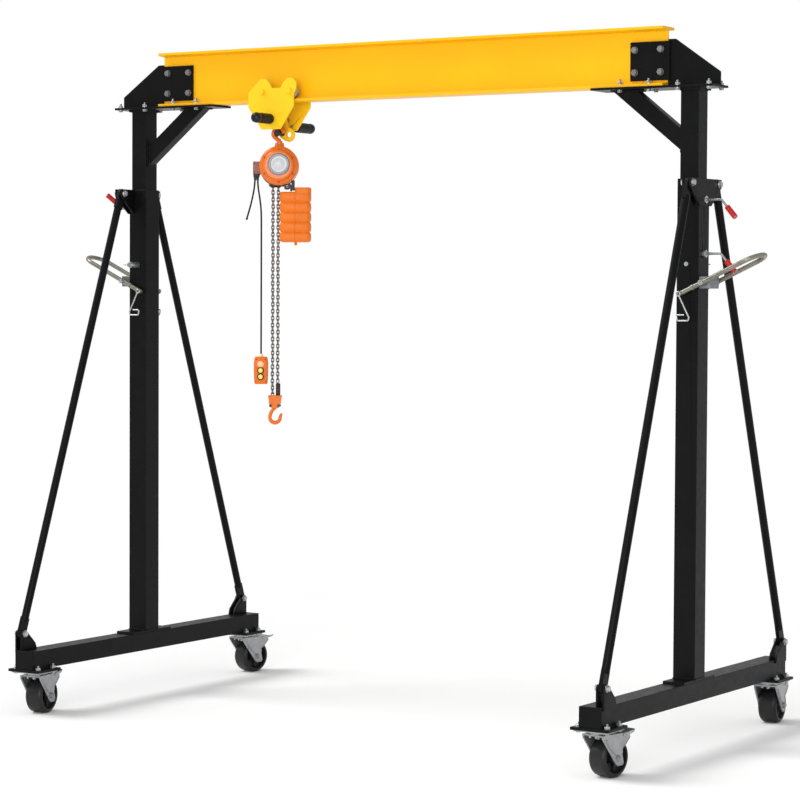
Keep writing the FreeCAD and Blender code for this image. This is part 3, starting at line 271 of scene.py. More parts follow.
SMALL_SURFACES = {
    "dull_bolt": ((0.20, 0.20, 0.205), 0.45, {"metallic": 0.6, "vary": 0.15, "patch": 40,
        "relief": 0.3, "grain": 800}),
    "red_grip": ((0.48, 0.010, 0.010), 0.34, {"specular": 0.3, "vary": 0.08, "patch": 30,
        "relief": 0.3, "grain": 800}),
    "dial_face": ((0.56, 0.57, 0.60), 0.3, {"specular": 0.45, "vary": 0.03, "patch": 40, "relief": 0.1,
        "grain": 500}),
    "dark_casting": ((0.030, 0.012, 0.008), 0.5, {"specular": 0.4, "vary": 0.2, "patch": 25,
        "relief": 0.45, "grain": 420}),
    "cream_plastic": ((0.85, 0.68, 0.45), 0.42, {"vary": 0.05, "patch": 40, "relief": 0.2, "grain": 700}),
    "yellow_button": ((0.95, 0.66, 0.14), 0.32, {"vary": 0.04, "patch": 40, "relief": 0.15, "grain": 600}),
    "peach_button": ((0.95, 0.50, 0.25), 0.36, {"vary": 0.05, "patch": 40, "relief": 0.15, "grain": 600}),
    "black_steel": ((0.014, 0.013, 0.013), 0.38, {"specular": 0.5, "vary": 0.2, "patch": 40,
        "relief": 0.3, "grain": 700}),
    "rust_screw": ((0.33, 0.075, 0.02), 0.42, {"metallic": 0.3, "vary": 0.15, "patch": 60,
        "relief": 0.3, "grain": 700}),
}
EXTRAS = {name: finish(name, colour, rough, **more) for name, (colour, rough, more) in SMALL_SURFACES.items()}


def dress(piece, material):
    piece.data.materials.clear()
    piece.data.materials.append(material)


dress(pendant_cable, FINISHES["cable_rubber"])
dress(power_lead, FINISHES["cable_rubber"])


# ---------------------------------------------------------------- CAD nodes
EDGE = {"beam": 1.5, "base_beams": 2.2, "left_post": 2.2, "right_post": 2.2,
        "left_mast": 2.0, "right_mast": 2.0,
        "end_caps": 2.0, "hoist_housing": 1.6, "hook_block": 3.0, "terminal_box": 3.0, "knee_braces": 2.2,
        "jack_blocks": 2.0, "caster_tops": 1.0, "trolley_side_plates": 1.6, "brace_lugs": 1.4}
for row in frame["record"]["subparts"]:
    name = row["node"]
    cad = frame["nodes"][name]
    if cad.hide_render:
        continue
    cad.data.materials.clear()
    cad.data.materials.append(EXTRAS["black_steel"] if name == "suspension_pin"
                              else FINISHES[row["material_slot"]])
    weld = cad.modifiers.new("weld", "WELD")
    weld.merge_threshold = 0.00001
    bevel = cad.modifiers.new("bevel", "BEVEL")
    bevel.width = EDGE.get(name, 0.8) * MM
    bevel.segments = 2
    bevel.limit_method = "ANGLE"
    bevel.angle_limit = math.radians(38)
    smooth = cad.modifiers.new("normals", "WEIGHTED_NORMAL")
    smooth.keep_sharp = False
    smooth.weight = 80


# ---------------------------------------------------------------- mesh tools
class Form:
    """Points and faces gathered for one piece."""

    def __init__(self):
        self.points = []
        self.faces = []

    def add(self, place, points, faces):
        start = len(self.points)
        self.points += [place @ (Vector(p) * MM) for p in points]
        self.faces += [[start + index for index in face] for face in faces]
        return self

    def turned(self, place, profile, sides=28):
        """A lathe form from (radius, height) pairs in millimetres, along the place's Z."""
        points = []
        faces = []
        rings = []
        for radius, height in profile:
            if radius <= 0:
                rings.append([len(points)])
                points.append((0, 0, height))
                continue
            rings.append(list(range(len(points), len(points) + sides)))
            for k in range(sides):
                angle = 2 * math.pi * k / sides
                points.append((radius * math.cos(angle), radius * math.sin(angle), height))
        for low, high in zip(rings, rings[1:]):
            for k in range(sides):
                n = (k + 1) % sides
                if len(low) == 1:
                    faces.append((low[0], high[n], high[k]))
                elif len(high) == 1:
                    faces.append((low[k], low[n], high[0]))
                else:
                    faces.append((low[k], low[n], high[n], high[k]))
        return self.add(place, points, faces)

    def lofted(self, place, rings, closed=True):
        """Skin over equal rings of points; with closed, the ends are filled."""
        count = len(rings[0])
        points = [p for ring in rings for p in ring]
        faces = []
        for level in range(len(rings) - 1):
            for k in range(count):
                n = (k + 1) % count
                a = level * count
                faces.append((a + k, a + n, a + count + n, a + count + k))
        if closed:
            faces.append(tuple(reversed(range(count))))
            faces.append(tuple(range(len(points) - count, len(points))))
        return self.add(place, points, faces)

    def swept(self, place, path, radius, sides=8, closed=False):
        """A round bar along a path; radius is a number or one number per point."""
        path = [Vector(p) for p in path]
        count = len(path)
        radii = radius if isinstance(radius, list) else [radius] * count
        normal = None
        rings = []
        for k, here in enumerate(path):
            before = path[k - 1] if (k or closed) else here
            after = path[(k + 1) % count] if (k < count - 1 or closed) else here
            along = (after - before).normalized()
            if normal is None:
                side = Vector((0, 0, 1)) if abs(along.z) < 0.9 else Vector((0, 1, 0))
                normal = (side - along * side.dot(along)).normalized()
            normal = (normal - along * normal.dot(along)).normalized()
            across = along.cross(normal)
            ring = []
            for j in range(sides):
                angle = 2 * math.pi * j / sides
                ring.append(here + radii[k] * (normal * math.cos(angle) + across * math.sin(angle)))
            rings.append(ring)
        if closed:
            return self.lofted(place, rings + [rings[0]], closed=False)
        return self.lofted(place, rings)

    def prism(self, place, outline, depth, chamfer=1.0):
        """An outline in the place's XY, raised along Z with chamfered ends."""
        centre = sum((Vector((x, y, 0)) for x, y in outline), Vector()) / len(outline)
        reach = max((Vector((x, y, 0)) - centre).length for x, y in outline)
        shrink = 1 - chamfer / reach

        def ring(scale, height):
            return [centre + (Vector((x, y, 0)) - centre) * scale + Vector((0, 0, height))
                    for x, y in outline]
        return self.lofted(place, [ring(shrink, 0), ring(1, chamfer), ring(1, depth - chamfer),
                                   ring(shrink, depth)])


def make(name, form, body, slot, material=None, bevel=0.0, subdivide=0, angle=40):
    """One piece from a form, riding on a body."""
    data = bpy.data.meshes.new(name)
    data.from_pydata(form.points, [], form.faces)
    work = bmesh.new()
    work.from_mesh(data)
    bmesh.ops.remove_doubles(work, verts=work.verts, dist=0.000005)
    bmesh.ops.recalc_face_normals(work, faces=work.faces)
    for face in work.faces:
        face.smooth = True
    for edge in work.edges:
        edge.smooth = len(edge.link_faces) == 2 and edge.calc_face_angle(0) < math.radians(angle)
    work.to_mesh(data)
    work.free()
    piece = bpy.data.objects.new(name, data)
    bpy.context.scene.collection.objects.link(piece)
    if bevel:
        rounding = piece.modifiers.new("bevel", "BEVEL")
        rounding.width = bevel * MM
        rounding.segments = 2
        rounding.limit_method = "ANGLE"
        rounding.angle_limit = math.radians(angle)
        rounding.harden_normals = True
    if subdivide:
        piece.modifiers.new("smooth", "SUBSURF").render_levels = subdivide
        piece.modifiers["smooth"].levels = subdivide
    dress(piece, material or FINISHES[slot])
    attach(piece, body)
    return piece


def hexagon(across):
    radius = across / math.sqrt(3)
    return [(radius * math.cos(math.pi * k / 3), radius * math.sin(math.pi * k / 3)) for k in range(6)]


def bolt_head(form, place, across, height, washer=True):
    """A hexagon head with a domed top on a washer, standing on the place's XY plane."""
    if washer:
        r = across * 0.62
        form.turned(place, [(0, 0), (r, 0), (r, 1.6), (r - 0.6, 2.2), (0, 2.2)], 24)
    lift = 2.0 if washer else 0.0
    base = place @ at(0, 0, lift)
    form.prism(base, hexagon(across), height, 0.9)
    r = across * 0.42
    form.turned(base, [(r, height - 0.4), (r * 0.96, height + 0.5), (0, height + 0.7)], 20)
    return form


def stud_and_nut(form, place, across, nut, stud, thread):
    """A nut on a washer with the threaded end of a bolt through it."""
    bolt_head(form, place, across, nut)
    profile = []
    height = nut + 1.5
    while height < stud:
        profile += [(thread / 2, height), (thread / 2 - 0.6, height + 0.7)]
        height += 1.4
    profile += [(thread / 2 - 0.8, stud), (0, stud)]
    return form.turned(place, profile, 16)


def bead(form, place, start, end, size=3.2):
    """A weld bead: a low ridge with the ripples of the weld pool."""
    start, end = Vector(start), Vector(end)
    steps = max(6, int((end - start).length / 3.4))
    path = []
    radii = []
    for k in range(steps + 1):
        share = k / steps
        path.append(start.lerp(end, share))
        ripple = 1 + 0.14 * (k % 2) + chance.uniform(-0.07, 0.07)
        ends = min(1.0, 0.55 + 4 * min(share, 1 - share) * (end - start).length / 60)
        radii.append(size * ripple * ends)
    return form.swept(place, path, radii, 6)


# ---------------------------------------------------------------- lower frame
def box_of(node):
    low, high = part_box(node)
    return low / MM, high / MM


BASE_LOW, BASE_HIGH = box_of("base_beams")
FOOT_HIGH = box_of("foot_plates")[1]
MOUNT_HIGH = box_of("caster_mounts")[1]
CASTER_PLACE = abs(JOINTS["rear_right_swivel"]["pos_m"][1]) / MM
HALF_POST = 50
MOUNT_BOLTS = (64, 52)


def lower_details():
    welds = Form()
    fixings = Form()
    for side in LEGS:
        leg = leg_matrix(side)
        z = FOOT_HIGH.z + 1
        corners = [(a * HALF_POST, b * HALF_POST, z) for a, b in ((-1, -1), (1, -1), (1, 1), (-1, 1))]
        for start, end in zip(corners, corners[1:] + corners[:1]):
            bead(welds, leg, start, end, 4.2)
        foot = FOOT_HIGH.y
        for sign in (-1, 1):
            bead(welds, leg, (-44, sign * foot, BASE_HIGH.z + 1), (44, sign * foot, BASE_HIGH.z + 1), 3.6)
            cap = BASE_HIGH.y
            for height in (BASE_LOW.z + 3, BASE_HIGH.z - 2):
                bead(welds, leg, (-44, sign * cap, height), (44, sign * cap, height), 2.2)
            for x in (-51, 51):
                y = sign * CASTER_PLACE
                bead(welds, leg, (x, y - 70, MOUNT_HIGH.z + 1), (x, y + 70, MOUNT_HIGH.z + 1), 3.0)
            for a in (-MOUNT_BOLTS[0], MOUNT_BOLTS[0]):
                for b in (-MOUNT_BOLTS[1], MOUNT_BOLTS[1]):
                    place = leg @ at(a, sign * CASTER_PLACE + b, MOUNT_HIGH.z)
                    stud_and_nut(fixings, place, 22, 8, 18, 11)
    make("frame_welds", welds, "lower_frame", "frame_paint")
    make("caster_nuts", fixings, "lower_frame", "bright_zinc")


lower_details()


# ---------------------------------------------------------------- casters
# Above or outside the caster's own frame: how far the crown is under the swivel, the fork's outer face,
# and the brake pedal's pin behind the axle and over the floor.
CROWN_DROP, FORK_FACE, PEDAL_BEHIND, PEDAL_PIN = 19.3, 52, 35, 171


def caster_details(place):
    swivel = JOINTS[f"{place}_swivel"]
    axis = Vector(JOINTS[f"{place}_roll"]["axis"])
    yaw = math.atan2(axis.y, axis.x)
    spot = Vector(swivel["pos_m"])
    local = Matrix.Translation((spot.x, spot.y, 0)) @ Matrix.Rotation(yaw, 4, "Z")
    wheel = Vector(JOINTS[f"{place}_roll"]["pos_m"])
    trail = (local.inverted() @ wheel) / MM
    crown = spot.z / MM - CROWN_DROP
    zinc = Form()
    for side in (-1, 1):
        turn = TO_X if side > 0 else TO_X @ Matrix.Rotation(math.pi, 4, "X")
        face = side * FORK_FACE
        rib = [(face, -14, crown - 18), (face, 4, crown - 44), (face, 26, trail.z + 30),
               (face, trail.y - 6, trail.z + 8)]
        zinc.swept(local, rib, [3.0, 5.5, 5.5, 2.5], 8)
        lip = [(face, -38, crown - 3), (face, -34, crown - 16), (face, trail.y - 18, trail.z - 18),
               (face, trail.y - 6, trail.z - 28), (face, trail.y + 23, trail.z - 27),
               (face, trail.y + 29, trail.z - 19)]
        zinc.swept(local, lip, 2.4, 8)
        edge = [(face, trail.y + 22, trail.z + 20), (face, trail.y + 22, trail.z + 38),
                (face, trail.y + 45, trail.z + 54), (face, trail.y + 70, trail.z + 79)]
        zinc.swept(local, edge, 2.2, 8)
        bolt_head(zinc, local @ at(face + side * 9, trail.y, trail.z) @ turn, 15, 4, washer=False)
        zinc.turned(local @ at(face, trail.y + PEDAL_BEHIND, PEDAL_PIN) @ turn,
                    [(0, 0), (8, 0), (8, 2.4), (6, 4), (0, 4.4)], 20)
    for x in (-15, 15):
        zinc.turned(local @ at(x, -34, crown - 15),
                    [(0, 0), (4, 1), (5.2, 4), (5.2, 9), (8, 9.6), (8, 11)], 18)
    zinc.turned(local @ at(0, 0, crown - 14), [(0, 0), (8, 0.6), (10, 3), (13, 3.4), (13, 10)], 24)
    make(f"fork_details_{place}", zinc, f"caster_fork_{place}", "caster_zinc")
    hub = Form()
    for side in (-1, 1):
        turn = TO_X if side > 0 else TO_X @ Matrix.Rotation(math.pi, 4, "X")
        centre = local @ at(side * 20, trail.y, trail.z) @ turn
        hub.turned(centre, [(22, 0), (23.5, 1), (23.5, 17), (21.5, 19.5), (19, 20), (16, 16), (12, 15.5)], 36)
        hub.turned(centre, [(50, 2), (52, 3.5), (54, 2)], 48)
        for k in range(6):
            angle = math.pi * k / 3
            spoke = centre @ Matrix.Rotation(angle, 4, "Z")
            hub.prism(spoke @ at(22, -2.5, 0), [(0, 0), (33, 0), (33, 5), (0, 5)], 8, 0.8)
    make(f"wheel_hub_{place}", hub, f"caster_wheel_{place}", "wheel_rubber")
    tray = Form()
    pivot_y, pivot_z = trail.y + PEDAL_BEHIND, PEDAL_PIN
    for x in (-40, 40):
        wall = [(0, 0), (26, -2.5), (54, 2), (78, 10), (76, 14), (50, 12), (20, 6), (0, 6)]
        flat = [(pivot_y + a, pivot_z - 4 + b) for a, b in wall]
        ring_low = [(x - 1.2, a, b) for a, b in flat]
        ring_high = [(x + 1.2, a, b) for a, b in flat]
        tray.lofted(local, [ring_low, ring_high])
    for k in range(3):
        y = pivot_y + 48 + 9 * k
        z = pivot_z - 3 + 3.2 * k
        tray.swept(local, [(-33, y, z), (33, y, z)], 1.6, 8)
    make(f"pedal_tray_{place}", tray, f"caster_brake_{place}", "pedal_zinc", bevel=0.5)


for caster in ("front_left", "front_right", "rear_left", "rear_right"):
    caster_details(caster)


# ---------------------------------------------------------------- height setting
# The clamp screws' bent handles, from the post's face: where the stem bends and where the handle ends.
HANDLE_BEND, HANDLE_END = Vector((78, 0, 0)), Vector((140, 0, -72))
HANDLE_ANGLES = {"left_clamp_screw": 150, "right_clamp_screw": 0, "right_lower_clamp_screw": 0}


def grips():
    for name, angle in HANDLE_ANGLES.items():
        joint = JOINTS[f"{name}_turn"]
        origin = Vector(joint["pos_m"])
        side = "right" if joint["axis"][0] > 0 else "left"
        place = leg_matrix(side) @ at(HALF_POST, 0, origin.z / MM)
        local = place @ Matrix.Rotation(math.radians(angle), 4, "X")
        back = (HANDLE_BEND - HANDLE_END).normalized()
        turn = Vector((0, 0, 1)).rotation_difference(back).to_matrix().to_4x4()
        grip = Form()
        profile = [(0, -8), (7, -7.5), (11, -4), (12.2, 0)]
        for k in range(5):
            profile += [(12.2, 4 + 10 * k), (11.4, 6 + 10 * k), (11.4, 9 + 10 * k), (12.2, 11 + 10 * k)]
        profile += [(12.2, 53), (10, 56), (5.5, 57)]
        grip.turned(local @ at(*HANDLE_END) @ turn, profile, 28)
        make(f"{name}_sleeve", grip, name, "clamp_steel", EXTRAS["red_grip"])


grips()


# ---------------------------------------------------------------- beam ends
BEAM_BOTTOM = box_of("beam")[0].z
COVER_FACE = box_of("beam_covers")[1].y
OVER = Matrix.Rotation(math.pi, 4, "X")


def beam_details():
    covers = Form()
    studs = Form()
    welds = Form()
    bottom = BEAM_BOTTOM
    for side in LEGS:
        leg = leg_matrix(side)
        for sign in (-1, 1):
            face = sign * COVER_FACE
            turn = TO_FRONT if sign < 0 else TO_Y
            for inboard in (271, 150):
                for rise in (62, 157):
                    bolt_head(covers, leg @ at(-inboard, face, bottom + rise) @ turn, 24, 11)
            for inboard in (330, 195):
                stud_and_nut(studs, leg @ at(-inboard, sign * 35, bottom + 13.5), 20, 9, 22, 11)
                bolt_head(studs, leg @ at(-inboard, sign * 35, bottom - 10) @ OVER, 19, 7)
            for along in (-48, 95):
                stud_and_nut(studs, leg @ at(along, sign * 60, bottom), 20, 9, 21, 11)
                bolt_head(studs, leg @ at(along, sign * 60, bottom - 10) @ OVER, 19, 7)
            bead(welds, leg, (-42, sign * 42, bottom - 21), (42, sign * 42, bottom - 21), 3.2)
            bead(welds, leg, (sign * 42, -42, bottom - 21), (sign * 42, 42, bottom - 21), 3.2)
            bead(welds, leg, (-118, sign * 5.5, bottom + 1), (116, sign * 5.5, bottom + 1), 3.2)
        for y in (-25, 25):
            bead(welds, leg, (-360, y, bottom - 17), (-268, y, bottom - 17), 3.0)
    make("cover_bolts", covers, "upper_frame", "bright_zinc", EXTRAS["dull_bolt"])
    make("bracket_studs", studs, "upper_frame", "bright_zinc")
    make("bracket_welds", welds, "upper_frame", "frame_paint")


beam_details()


# ---------------------------------------------------------------- trolley
TROLLEY_X = SWIVEL.x / MM
SPINDLE_Z = BEAM_BOTTOM - 78
STUB_SHIFT, STUB_Z = 22, BEAM_BOTTOM - 108
GRIP_STARTS = -75, 106
ROLLERS = -45, 105


def trolley_details():
    grip = Form()
    front = at(TROLLEY_X, GRIP_STARTS[0], SPINDLE_Z) @ TO_FRONT
    rear = at(TROLLEY_X + STUB_SHIFT, GRIP_STARTS[1], STUB_Z) @ TO_Y
    for local in (front, rear):
        profile = [(10, 0), (20, 0), (23, 2.5), (23.6, 8)]
        for k in range(7):
            profile += [(23.6, 10 + 10.5 * k), (22.2, 12 + 10.5 * k), (22.2, 15 + 10.5 * k),
                        (23.6, 17 + 10.5 * k)]
        profile += [(23, 86), (20.6, 89), (20, 92), (21.6, 95), (23.4, 99), (24, 106), (23.6, 114),
                    (21.5, 121), (17, 126.5), (9, 129.6), (0, 130)]
        grip.turned(local, profile, 40)
    piece = make("spindle_handles", grip, "trolley", "grip_black")
    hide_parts("trolley_grips")
    nuts = Form()
    plate_face = box_of("trolley_side_plates")[1].y
    roller_low, roller_high = box_of("trolley_rollers")
    height = (roller_low.z + roller_high.z) / 2
    for sign in (-1, 1):
        turn = TO_FRONT if sign < 0 else TO_Y
        face = plate_face * sign
        for x in ROLLERS:
            bolt_head(nuts, at(TROLLEY_X + x, face, height) @ turn, 24, 9)
        spread = at(TROLLEY_X, face, SPINDLE_Z) @ turn
        nuts.turned(spread, [(10.5, 0), (20, 0), (20, 3), (18.5, 4.2), (10.5, 4.2)], 32)
    make("roller_nuts", nuts, "trolley", "trolley_paint")


trolley_details()


# ---------------------------------------------------------------- chain
LINK_PITCH, LINK_WIRE, LINK_WIDTH = 16, 5.6, 17
CHAIN_X, FALL_SPREAD = -17, 24
CHAIN_TOP, CHAIN_BOTTOM = -240, -1206


def link_path():
    r = (LINK_WIDTH - LINK_WIRE) / 2
    half = (LINK_PITCH + LINK_WIRE) / 2 - r
    path = []
    for end in (1, -1):
        for k in range(7):
            angle = math.pi * k / 6
            path.append((end * r * math.cos(angle), 0, end * (half + r * math.sin(angle))))
    return path


LINK = link_path()


def chain():
    links = Form()
    for sign, bottom in ((-1, CHAIN_BOTTOM - 6), (1, -1150)):
        x = CHAIN_X + sign * FALL_SPREAD / 2
        count = int((CHAIN_TOP - bottom) / LINK_PITCH) + 1
        for k in range(count):
            turn = math.radians(20 + 90 * (k % 2) + 6 * math.sin(k * 0.7 + sign) + chance.uniform(-3, 3))
            z = CHAIN_TOP - LINK_PITCH * k
            sway = 0.5 * math.sin(k * 0.45 + sign)
            place = HOIST @ at(x + sway, 0, z) @ Matrix.Rotation(turn, 4, "Z")
            links.swept(place, LINK, LINK_WIRE / 2, 8, closed=True)
    piece = make("chain_links", links, "hoist", "chain_steel")
    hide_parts("load_chain")
    slack = Form()
    points = [(20, -226), (24, -240), (31, -250), (40, -250), (47, -240), (52, -246), (54, -262)]
    for k, ((ax, az), (bx, bz)) in enumerate(zip(points, points[1:])):
        tilt = math.atan2(bx - ax, bz - az)
        place = HOIST @ at((ax + bx) / 2, -4, (az + bz) / 2) @ Matrix.Rotation(tilt, 4, "Y")
        place = place @ Matrix.Rotation(math.radians(10 + 90 * (k % 2)), 4, "Z")
        slack.swept(place, LINK, LINK_WIRE / 2, 8, closed=True)
    make("slack_links", slack, "hoist", "chain_steel")


chain()


# ---------------------------------------------------------------- hoist
DROP, FACE = -150, -70
DIAL = HOIST @ at(3, FACE, DROP + 5) @ TO_FRONT
SCREW_CIRCLE = 76
MOTOR = HOIST @ at(-5, 26, DROP - 6) @ TO_Y
BOX_SCREWS = ((-113, -140), (-113, -180), (-96, -180))


def hoist_details():
    trim = Form()
    trim.turned(DIAL, [(36.5, 1.5), (37.5, 6.2), (39.5, 7), (47, 6.4), (50, 4.6), (50.5, 0)], 72)
    piece = make("dial_ring", trim, "hoist", "dial_trim")
    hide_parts("hoist_dial")
    face = Form()
    face.turned(DIAL,
                [(0, 5.4), (26, 5.2), (26.6, 4.7), (28, 4.7), (28.6, 5.1), (35, 4.8), (38, 4.4), (38, 0)], 72)
    make("dial_face", face, "hoist", "dial_trim", EXTRAS["dial_face"])
    screws = Form()
    for k in range(6):
        angle = math.radians(30 + 60 * k)
        x, z = SCREW_CIRCLE * math.cos(angle), SCREW_CIRCLE * math.sin(angle)
        place = HOIST @ at(x, FACE + 25, DROP + z) @ TO_FRONT
        screws.turned(place, [(4.6, 0), (4.6, 4.4), (3.9, 5.2), (2.6, 5.2), (2.2, 3.4), (0, 3.4)], 24)
    make("rim_screws", screws, "hoist", "bright_zinc", EXTRAS["rust_screw"])
    bead_ring = Form()
    bead_ring.turned(HOIST @ at(0, FACE + 33, DROP) @ TO_Y,
                     [(86, 0), (88.8, 0.5), (89.4, 2.5), (89.4, 6), (88.8, 8), (86, 8.5)], 96)
    bead_ring.turned(HOIST @ at(0, FACE + 45, DROP) @ TO_Y,
                     [(86.5, 0), (88.7, 1.2), (88.7, 3), (86.5, 4)], 96)
    make("housing_rims", bead_ring, "hoist", "hoist_enamel")
    # Motor cover behind the housing: a black part, set 6 mm below the housing's centre. Its near-black
    # dark_casting finish is also painted shade for the housing's shaded underside, seen as a dark crescent.
    rear = Form()
    profile = [(85, 0), (87.5, 2)]
    for k in range(5):
        profile += [(87.5, 4 + 7 * k), (85.2, 5.2 + 7 * k), (85.2, 7.6 + 7 * k), (87.5, 9 + 7 * k)]
    profile += [(85, 43), (78, 46.5), (66, 47.5), (0, 47.8)]
    rear.turned(MOTOR, profile, 96)
    for k in range(12):
        slot = MOTOR @ Matrix.Rotation(math.radians(30 * k), 4, "Z") @ at(58, 0, 46.5)
        rear.prism(slot, [(-10, -3), (10, -3), (10, 3), (-10, 3)], 3.4, 0.8)
    make("motor_cover_black_with_painted_shade", rear, "hoist", "hoist_enamel", EXTRAS["dark_casting"])
    guide = Form()
    guide.prism(HOIST @ at(CHAIN_X, 0, -244),
                [(-31, -17), (-26, -23), (26, -23), (31, -17),
                 (31, 17), (26, 23), (-26, 23), (-31, 17)], 26, 2)
    for sign in (-1, 1):
        guide.turned(HOIST @ at(CHAIN_X + sign * FALL_SPREAD / 2, 0, -248),
                     [(9.5, 4), (11.3, 0), (12.2, 0), (12.2, 6)], 24)
    make("chain_guide", guide, "hoist", "hoist_enamel", EXTRAS["dark_casting"])
    swivel = Form()
    swivel.turned(HOIST @ at(0, 0, -58),
                  [(21, -14), (22, -4), (21.4, 6), (17, 11), (15, 12.2), (8, 12.4)], 40)
    make("swivel_boss", swivel, "hoist", "hoist_enamel")
    gland = Form()
    gland.turned(HOIST @ at(-100, 0, -199),
                 [(4.2, -18), (5.4, -17.5), (6.2, -6), (9, -2), (9.5, 6), (12, 6.4), (12, 13)], 28)
    gland.turned(HOIST @ at(-112, 0, -199),
                 [(4.2, -17), (5.2, -16.5), (6, -6), (7.6, -2), (8, 6), (9, 6.4), (9, 13)], 28)
    make("cable_gland", gland, "hoist", "terminal_plastic", EXTRAS["black_steel"])
    screws = Form()
    for x, z in BOX_SCREWS:
        place = HOIST @ at(x, -30, z) @ TO_FRONT
        screws.turned(place, [(2.8, 0), (2.8, 1.0), (2.2, 1.6), (0, 1.7)], 18)
    make("terminal_screws", screws, "hoist", "bright_zinc", EXTRAS["dark_casting"])
    cores = Form()
    tip = Vector(LEAD_ROUTE[-1])
    heading = (tip - Vector(LEAD_ROUTE[-2])).normalized()
    turn = Vector((0, 0, 1)).rotation_difference(heading).to_matrix().to_4x4()
    cores.turned(HOIST @ Matrix.Translation(tip * MM) @ turn,
                 [(4.3, -9), (4.7, -8), (4.7, -1), (4.2, 0), (0, 0.2)], 24)
    return make("lead_end_cap", cores, "hoist", "cable_rubber")


lead_end = hoist_details()


def rounded(width, depth, radius, z, x=0.0, y=0.0, steps=6):
    """A ring of points round a rectangle with round corners."""
    ring = []
    for cx, cy, start in ((1, 1, 0), (-1, 1, 90), (-1, -1, 180), (1, -1, 270)):
        for k in range(steps):
            angle = math.radians(start + 90 * k / (steps - 1))
            ring.append((x + cx * (width / 2 - radius) + radius * math.cos(angle),
                         y + cy * (depth / 2 - radius) + radius * math.sin(angle), z))
    return ring


CONTAINER_LOW, BAND, CONTAINER_X, RAISED_X = -499, 45.8, 74.5, 109


def container():
    low, band = CONTAINER_LOW, BAND
    rings = [rounded(112, 64, 12, low, CONTAINER_X), rounded(126, 78, 16, low + 1.5, CONTAINER_X),
             rounded(136, 87, 18, low + 5, CONTAINER_X)]
    for k in range(5):
        base = low + band * k
        shape = ((0.14, -0.6), (0.3, 0.7), (0.5, 1.2), (0.7, 0.7),
                 (0.86, -0.6), (0.95, -4.0), (1.0, -5.4), (1.05, -4.0))
        for share, swell in shape:
            if k == 4 and share > 0.9:
                break
            rings.append(rounded(140 + 1.6 * swell, 91 + 1.6 * swell, 18, base + band * share, CONTAINER_X))
    top = low + 5 * band
    rings += [rounded(137, 88, 17, top - 3, CONTAINER_X), rounded(130, 82, 15, top + 0.5, CONTAINER_X),
              rounded(118, 70, 12, top + 1.2, CONTAINER_X)]
    shell = Form()
    shell.lofted(HOIST, rings)
    raised = [rounded(72, 90, 14, top - 8, RAISED_X), rounded(72, 90, 14, top + 13, RAISED_X),
              rounded(71, 89, 14, top + 19, RAISED_X), rounded(68, 86, 12.5, top + 21, RAISED_X),
              rounded(64, 82, 11, top + 20, RAISED_X), rounded(62, 80, 10, top + 16, RAISED_X),
              rounded(62, 80, 10, top + 3, RAISED_X)]
    shell.lofted(HOIST, raised, closed=False)
    for y in (-46.8, 46.8):
        seam = []
        for k in range(5):
            base = low + band * k
            seam += [(74, y, base + band * 0.16), (74, y * 1.02, base + band * 0.5),
                     (74, y, base + band * 0.84)]
            if k < 4:
                seam.append((74, y * 0.93, base + band))
        shell.swept(HOIST, seam, 1.5, 6)
    shell.turned(HOIST @ at(76, 0, low - 15),
                 [(0, 0), (4, 0.6), (6.4, 3), (7, 7), (6, 11), (8.5, 15), (9.5, 19)], 24)
    piece = make("container_shell", shell, "hoist", "container_plastic", angle=50)
    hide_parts("chain_container")
    inside = Form()
    inside.lofted(HOIST, [rounded(61, 79, 10, top + 6, RAISED_X), rounded(58, 76, 9, top + 5, RAISED_X)])
    strip = [(56, -12), (70, -12), (70, 12), (56, 12)]
    inside.prism(HOIST @ at(0, 0, -262), strip, 46, 1)
    inside.swept(HOIST, [(63, -15, -224), (63, 15, -224)], 4.5, 12)
    make("container_hanger", inside, "hoist", "hoist_enamel", EXTRAS["dark_casting"])


container()


PENDANT_X, PENDANT_TOP, PENDANT_LENGTH = -82, -1025, 126
RUN_BUTTONS, STOP_BUTTON = (63, 92), 34


